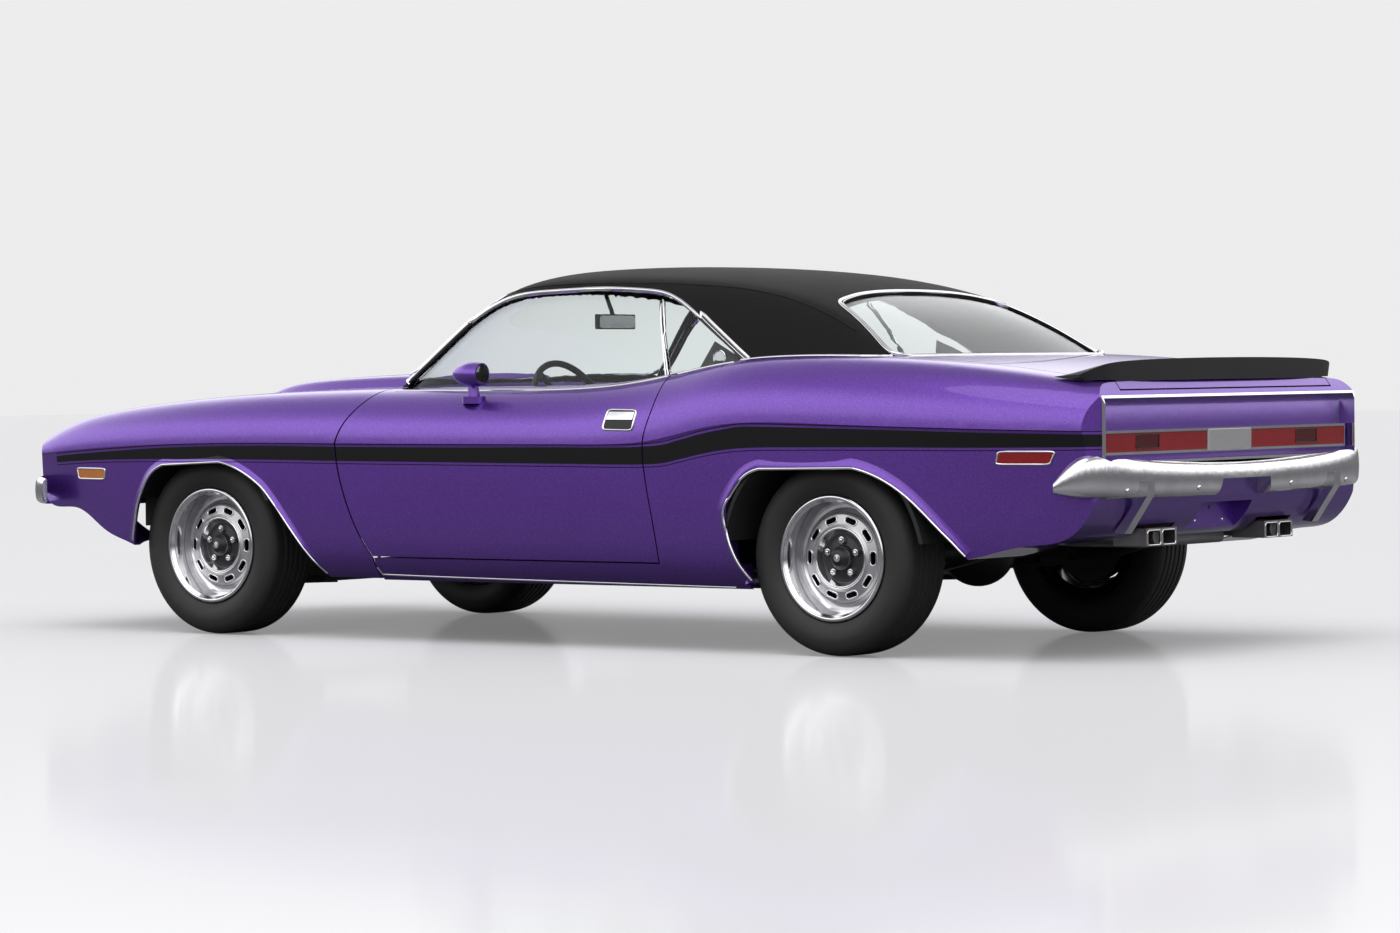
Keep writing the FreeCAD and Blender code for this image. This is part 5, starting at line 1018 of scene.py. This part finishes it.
valance_skin, bumper_skin, frame_skin = (skin_of(name) for name in ("rear_valance", "bumpers", "tail_frame"))
trim("plate_screws", [dome(on_rear(valance_skin, y + 0.006, 0.436), 0.0062, 0.004) for y in (-0.089, 0.089)])
build("plate_hole", [dome(on_rear(valance_skin, 0.0, 0.479), 0.007, 0.0006)], rubber, "grille_black")
trim("bumper_bolts", [dome(on_rear(bumper_skin, y, 0.553), 0.0085, 0.004) for y in (-0.71, -0.30, 0.30, 0.71)])
joints = []
for y in (-0.52, 0.0, 0.52):
    run = np.array([on_rear(frame_skin, y, z) for z in (0.852, 0.849, 0.846, 0.842)])
    joints.append(strip(run, (-1.0, 0, 0), 0.0025, 0.0007, 0.001))
build("tail_frame_joints", joints, rubber, "grille_black")

# Rear wing
# A hollow moulded wing stands on the deck lid, sprayed satin black.

satin = mottled("wing_black", (0.022, 0.022, 0.023), (0.031, 0.031, 0.032), 6.0, 6.0, 0.40, 0.12, 520.0, 0.00012,
                Specular_IOR_Level=0.3)
dress(("rear_wing",), satin)

# Mirrors
# The bullet mirror on the left door and the mirror on its stalk in the cabin hold silvered glass.

silvered = metal("mirror_glass", (0.30, 0.31, 0.32), (0.24, 0.25, 0.26), 0.03, 0.06)
mirror_back = mottled("mirror_trim", (0.020, 0.020, 0.020), (0.034, 0.034, 0.034), 40.0, 90.0, 0.35, 0.2, 400.0,
                      0.0001)
dress(("inner_mirror",), mirror_back)
turn = circle(48)


def oval(x, y, z, wide, tall, push=1.0):
    """A ring of points round a middle, facing along the car. A push over one cuts its sides straight."""
    return xyz(x, y + np.clip(np.cos(turn) * push, -1, 1) * wide, z + np.clip(np.sin(turn) * push, -1, 1) * tall)


share = np.linspace(1, 0, 7)[:, None]
face_x = struck(skin_of("door_mirror"), (-0.3, 0.912, 0.943), (1, 0, 0)).x
disc = oval(face_x - 0.0006 - 0.0012 * (1 - share ** 2), 0.912, 0.943, share * 0.034, share * 0.034)
build("door_mirror_glass", [(disc, False, True)], silvered, "mirror_trim", body="door_left", facing=(-1, 0, 0))
inner_face = oval(0.2083 - 0.0008 * (1 - share ** 2), 0, 1.1285, share * 0.104, share * 0.0235, 1.3)
build("inner_mirror_glass", [(inner_face, False, True)], silvered, "mirror_trim", facing=(-1, 0, 0))

# Inner quarter trim
# Behind each quarter window's rear corner lies a dark panel with a plain round medallion in bright metal.

glass_skin = skin_of("fixed_glass")
through_glass = (0, -1, -0.2)
trim_corners = ((-.690, .945), (-.915, .978), (-.905, .985), (-.735, 1.070))
medal_out = (0, 0.0035, 0.0050, 0.0042, 0.0030, 0.0030, 0.0036, 0.0040)
medal_wide = (0.0275, 0.0275, 0.0255, 0.0235, 0.0225, 0.014, 0.006, 0.0)
build("quarter_trim_panels", [patch(trim_corners, glass_skin, -0.022, 10, 0.80, through_glass)], mirror_back,
      "mirror_trim", facing=(0, 1, 0), mirror=True)
middle = laid_on(glass_skin, np.array(((-.775, .80, 1.007),)), through_glass, 1)[0][0] - (0, 0.0215, 0)
trim("quarter_medallions", [rounds(middle, (1, 0, 0), (0, 0, 1), (0, 1, 0), medal_wide, medal_out, turn)], mirror=True)

# Nose
# The black grille has a thin bright edge. Each round lamp has a fluted glass lens in a bright ring, and small
# lamps with plain lenses stand below.

grille_paint = mottled("grille_black", (0.014, 0.014, 0.015), (0.028, 0.028, 0.028), 18.0, 80.0, 0.32, 0.2, 500.0,
                       0.0001)
dress(("grille",), grille_paint)

lamp, shader, coordinate = new_material("lamp_glass")
y, z = parts_of(coordinate)[1:]
flutes = ridges(y, 110.0)
relief = maths("MULTIPLY_ADD", ridges(z, 60.0), 0.3, flutes)
# The lens colour is lighter on each flute's crest and darker in its valleys, a painted highlight along the flutes.
feed(shader, Base_Color=blend_colours(flutes, (0.62, 0.65, 0.66), (0.78, 0.80, 0.81)),
     Roughness=maths("MULTIPLY_ADD", flutes, 0.10, 0.06), Metallic=0.6, Coat_Weight=1.0, Normal=bump(relief, 0.0018))
dress(("headlamps",), lamp)

lamp_low, lamp_high = (np.array(corner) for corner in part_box("headlamps"))
lamp_z = (lamp_low[2] + lamp_high[2]) / 2
ring_round = 0.068 * body_height - 0.004
rings = [oval(lamp_high[0] - 0.004, lamp_y * half_width, lamp_z, ring_round, ring_round) for lamp_y in (0.715, 0.540)]
trim("headlamp_rings", [strip(ring, (1.0, 0, 0), 0.012, 0.009, 0.004, True) for ring in rings], mirror=True)
small_y, small_z, small_wide, small_tall = 0.40, 0.505, 0.062, 0.017
foot_x = struck(skin_of("front_valance", "bumpers"), (2.7, small_y, small_z), (-1, 0, 0)).x - 0.004
rows = [oval(foot_x + rise, small_y, small_z, share * small_wide, share * small_tall, 1.25)
        for share, rise in ((1, 0), (1, 0.006), (0.93, 0.009), (0.5, 0.0105), (0, 0.011))]
build("valance_lamps", [(np.array(rows), False, True)], amber, "red_lens", mirror=True)
trim("valance_lamp_rings", [strip(rows[1], (1.0, 0, 0), 0.006, 0.005, 0.004, True)], mirror=True)

# Underbody and running gear
# The floor is sprayed with black undercoat outside and laid with black carpet inside. The suspension and axle
# are painted black, the engine is enamelled, and the exhaust and the tank are bare steel. Road film lies low.


def coated(name, first, second, rough, metal_share, cells, grain, film_low=0.15, film_high=0.5, film_share=0.35):
    """A coated metal with mottled colour, fine grain and road film low down."""
    material, shader, coordinate = new_material(name)
    mottle = noise(coordinate, cells, 5.0)
    film = use(road_film, Place=coordinate, Low=film_low, High=film_high, Cells=12.0)["Film"]
    colour = blend_colours(mottle, first, second)
    feed(shader, Base_Color=blend_colours(maths("MULTIPLY", film, film_share), colour, (0.075, 0.068, 0.060)),
         Roughness=maths("MULTIPLY_ADD", mottle, 0.15, rough), Metallic=metal_share,
         Normal=bump(noise(coordinate, cells * 18), grain))
    return material


undercoat, shader, coordinate = new_material("underbody")
x, y, z = parts_of(coordinate)
carpeted = maths("MULTIPLY", maths("GREATER_THAN", normal_of(shader)["Z"], 0.2),
                 maths("MULTIPLY", band(x, -1.0, 0.60, 0.002), maths("LESS_THAN", z, 0.50)))
pile = cell_distance(coordinate, 420.0)
pebble = noise(coordinate, 160.0)
black = blend_colours(noise(coordinate, 6.0), (0.016, 0.016, 0.016), (0.032, 0.030, 0.029))
carpet = blend_colours(pile, (0.012, 0.012, 0.013), (0.040, 0.040, 0.042))
feed(shader, Base_Color=blend_colours(carpeted, black, carpet),
     Roughness=maths("MULTIPLY_ADD", carpeted, 0.25, maths("MULTIPLY_ADD", pebble, 0.15, 0.60)),
     Normal=bump(maths("MULTIPLY_ADD", maths("MULTIPLY", pile, carpeted), 2.0, pebble), 0.0008))
dress(("floor_pan",), undercoat)
u, v = (share[..., 0] for share in shares(8, 6))
kick = xyz(0.585 + 0.155 * u, 0.640 + 0.004 * np.sin(u * math.pi) * np.sin(v * math.pi), 0.235 + 0.190 * v)
kick = np.concatenate((kick, kick[::-1] - (0, 0.0015, 0)))
build("kick_panels", [(kick, True, False)], undercoat, "underbody", facing=(0, 1, 0), mirror=True)
chassis = coated("chassis_black", (0.018, 0.018, 0.018), (0.035, 0.033, 0.031), 0.42, 0.3, 25.0, 0.0003)
dress(("front_suspension", "rear_axle", "driveline", "knuckle_left", "knuckle_right"), chassis)
dress(("engine_block",), coated("engine_paint", (0.42, 0.10, 0.025), (0.32, 0.075, 0.02), 0.38, 0.0, 16.0, 0.0005,
                                0.3, 0.7, 0.5))
dress(("exhaust",), coated("exhaust_steel", (0.42, 0.41, 0.40), (0.26, 0.25, 0.24), 0.30, 0.9, 18.0, 0.0002))
dress(("fuel_tank",), coated("tank_steel", (0.30, 0.30, 0.31), (0.20, 0.20, 0.21), 0.40, 0.8, 14.0, 0.0003))

# Exhaust tips
# Each pair of rectangular tips has a bright rolled rim round two black openings.

tip_low, tip_high = 0.364, 0.422
tips = [frame_round(y_from, y_to, tip_low + 0.005, tip_high - 0.005, -2.324, 0.010, 0.006, 0.003)
        for y_from, y_to in ((0.292, 0.374), (0.384, 0.466))]
build("exhaust_tip_rims", tips, chrome, "exhaust_steel", mirror=True)

# Seats
# Two front bucket seats and a rear bench, foam pads in black vinyl with pleats sewn in their middles and piping
# round their faces. Each pad starts from its solid, swells under its cover and is then pleated.

pad_sink = 0.006
swell_cap = 0.010
settle_frames = 20
pleat_depth = 0.007
pleat_half = 0.006

seat_cover, shader, coordinate = new_material("seat_vinyl")
grain = smooth_step(cell_distance(coordinate, 480.0), 0.1, 0.7)
wear = noise(coordinate, 7.0, 4.0)
feed(shader, Base_Color=blend_colours(wear, (0.014, 0.014, 0.015), (0.026, 0.026, 0.027)),
     Roughness=maths("MULTIPLY_ADD", wear, 0.15, 0.36), Normal=bump(grain, 0.0004))


def seat_pad(name, low, high, voxel, pleat_from, pleat_to, pleat_gap):
    """One stuffed pad from the faces of the seats' solids within a box of length and width.

    Its corners move outwards under pressure, at most the cap. The pleats then lower the facing surface by the
    depth times a narrow bell round each pleat line, and fade out at the edge of the sewn middle.
    """
    shell = bmesh.new()
    shell.from_mesh(nodes["seats"].data)
    bmesh.ops.remove_doubles(shell, verts=shell.verts, dist=0.00002)
    stray = [face for face in shell.faces if not all(low[k] < face.calc_center_median()[k] < high[k] for k in (0, 1))]
    bmesh.ops.delete(shell, geom=stray, context="FACES")
    mesh = bpy.data.meshes.new(name)
    shell.to_mesh(mesh)
    shell.free()
    pad = place_in_scene(name, mesh)
    bpy.context.view_layer.objects.active = pad
    remesh = pad.modifiers.new("even", "REMESH")
    remesh.mode = "VOXEL"
    remesh.voxel_size = voxel
    bpy.ops.object.select_all(action="DESELECT")
    pad.select_set(True)
    bpy.ops.object.modifier_apply(modifier="even")
    count = len(mesh.vertices)
    before, normals = np.empty(count * 3), np.empty(count * 3)
    mesh.vertices.foreach_get("co", before)
    mesh.vertices.foreach_get("normal", normals)
    before, normals = before.reshape(-1, 3), normals.reshape(-1, 3)
    mesh.vertices.foreach_set("co", (before - normals * pad_sink).ravel())
    cloth = pad.modifiers.new("stuffing", "CLOTH")
    cloth.settings.use_pressure = True
    cloth.settings.uniform_pressure_force = 4.0
    cloth.settings.effector_weights.gravity = 0.0
    cloth.settings.quality = 4
    cloth.point_cache.frame_start, cloth.point_cache.frame_end = 1, settle_frames
    for step in range(1, settle_frames + 1):
        bpy.context.scene.frame_set(step)
    bpy.ops.object.modifier_apply(modifier="stuffing")
    bpy.context.scene.frame_set(1)
    after = np.empty(count * 3)
    mesh.vertices.foreach_get("co", after)
    after = after.reshape(-1, 3)
    move = after - before
    far_moved = np.maximum(np.linalg.norm(move, axis=1, keepdims=True), 1e-9)
    after = before + move * np.minimum(far_moved, swell_cap) / far_moved
    facing = np.maximum(normals[:, 2], normals[:, 0])
    sewn = np.clip((after[:, 1] - pleat_from) / 0.03, 0, 1) * np.clip((pleat_to - after[:, 1]) / 0.03, 0, 1)
    fold = np.abs((after[:, 1] - pleat_from) / pleat_gap % 1.0 - 0.5) * pleat_gap
    bell = np.exp(-((pleat_gap / 2 - fold) / pleat_half) ** 2)
    after -= normals * (pleat_depth * bell * sewn * np.clip(facing * 2 - 0.8, 0, 1))[:, None]
    mesh.vertices.foreach_set("co", after.ravel())
    mesh.polygons.foreach_set("use_smooth", [True] * len(mesh.polygons))
    finer = pad.modifiers.new("finer", "SUBSURF")
    finer.levels = finer.render_levels = 1
    mesh.materials.append(seat_cover)
    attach(pad, "car_body")
    return pad


pads = [seat_pad("front_seat_left", (-0.52, 0.10), (0.30, 0.80), 0.012, 0.265, 0.600, 0.048),
        seat_pad("front_seat_right", (-0.52, -0.80), (0.30, -0.10), 0.012, -0.600, -0.265, 0.048),
        seat_pad("rear_bench", (-1.10, -0.80), (-0.497, 0.80), 0.013, -0.500, 0.500, 0.055)]
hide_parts("seats")
loop = circle(56)
loop_x, loop_y = (0.185 * np.clip(wave * 1.35, -1, 1) for wave in (np.cos(loop), np.sin(loop)))
piping = []
for middle_y in (0.432, -0.432):
    spots, normals = laid_on(skin_of("seats"), xyz(loop_x - 0.02, loop_y + middle_y, 0.55), (0, 0, -1))
    piping.append(strip(spots + (0, 0, 0.004), normals, 0.009, 0.0045, 0.006, True))
build("seat_piping", piping, seat_cover, "seat_vinyl")

# Dashboard and steering wheel
# A padded black dashboard carries round dials in bright rings ahead of the driver and a glove box lid. The thin
# dark wheel has a padded hub with a bright ring.

dash_skin, shader, coordinate = new_material("dash_black")
cells = cell_distance(coordinate, 420.0)
feed(shader, Base_Color=blend_colours(noise(coordinate, 8.0), (0.014, 0.014, 0.015), (0.026, 0.026, 0.027)),
     Roughness=maths("MULTIPLY_ADD", cells, 0.2, 0.42), Normal=bump(cells, 0.0004))
dress(("dashboard", "steering_wheel"), dash_skin)

dial, shader, coordinate = new_material("dial_face")
ticks = band(ridges(parts_of(coordinate)["Y"], 80.0), 0.44, 0.6, 0.02)
feed(shader, Base_Color=blend_colours(maths("MULTIPLY", ticks, 0.5), (0.010, 0.010, 0.011), (0.55, 0.55, 0.53)),
     Roughness=maths("MULTIPLY_ADD", noise(coordinate, 60.0), 0.1, 0.15),
     Normal=bump(noise(coordinate, 200.0), 0.0001))
dash_front = skin_of("dashboard")
dial_z = 0.805
dials, dial_rings = [], []
for dial_y, dial_round in ((0.500, 0.042), (0.400, 0.046), (0.305, 0.038), (0.225, 0.030)):
    foot_x = struck(dash_front, (-0.2, dial_y, dial_z), (1, 0, 0)).x
    ring = oval(foot_x - 0.001, dial_y, dial_z, dial_round, dial_round * 0.9)
    dial_rings.append(strip(ring, (-1.0, 0, 0), 0.006, 0.006, 0.004, True))
    share = np.linspace(1, 0, 3)[:, None]
    dials.append((oval(foot_x - 0.0015, dial_y, dial_z, share * dial_round, share * dial_round * 0.9), False, True))
build("dial_faces", dials, dial, "dash_black", facing=(-1, 0, 0))
trim("dial_rings", dial_rings)
trim("glove_box_edge", [frame_round(-0.52, -0.20, 0.735, 0.835, 0.452, 0.012, 0.004, 0.002)])
wheel_middle = (0.050 * half_length, 0.383 * half_width, 0.809 * body_height)
column_lean = math.radians(25)
to_driver = np.array((-math.cos(column_lean), 0, math.sin(column_lean)))
hub_axes = wheel_middle, (0, 1, 0), np.cross(to_driver, (0, 1, 0)), to_driver
pad_out = (0.004, 0.016, 0.022, 0.025, 0.026)
pad_wide = (0.052, 0.050, 0.040, 0.020, 0.0)
build("steering_hub_pad", [rounds(*hub_axes, pad_wide, pad_out, turn)], dash_skin, "dash_black",
      body="steering_wheel", facing=to_driver)
ring = rounds(*hub_axes, (0.0445,), (0.020,), turn)[0][0]
trim("steering_hub_ring", [strip(ring, to_driver, 0.005, 0.003, 0.003, True)], "steering_wheel")

# Door trims
# Each door is lined with black vinyl on its inside, with an armrest, a bright release handle and a window crank.

door_inside = skin_of("door_left")
arm_spots = np.array([struck(door_inside, (arm_x, 0.60, 0.60), (0, 1, 0)) for arm_x in np.linspace(-0.42, 0.22, 24)])
arm_profile = np.array([(math.cos(a) * 0.024, max(math.sin(a), -0.2) * 0.046)
                        for a in np.linspace(0, 2 * math.pi, 20)[:-1]])
arm_tube = swept(arm_spots, (0, -1.0, 0), arm_profile)
crank_spot = np.array(struck(door_inside, (0.30, 0.60, 0.62), (0, 1, 0)))
crank_line = crank_spot + np.linspace(0, 1, 10)[:, None] * (-0.075, 0, -0.085) + (0, -0.018, 0)
crank_arm = strip(crank_line, (0, -1.0, 0), 0.012, 0.006, 0.004)
crank_hub = dome(crank_spot, 0.020, 0.022, (0, -1, 0))
crank_knob = dome(crank_line[-1], 0.012, 0.028, (0, -1, 0))
release = dome(crank_spot + (-0.10, 0, 0.10), 0.018, 0.010, (0, -1, 0))
on_doors("armrest", [arm_tube], seat_cover, "seat_vinyl")
on_doors("door_fittings", [crank_arm, crank_hub, crank_knob, release])
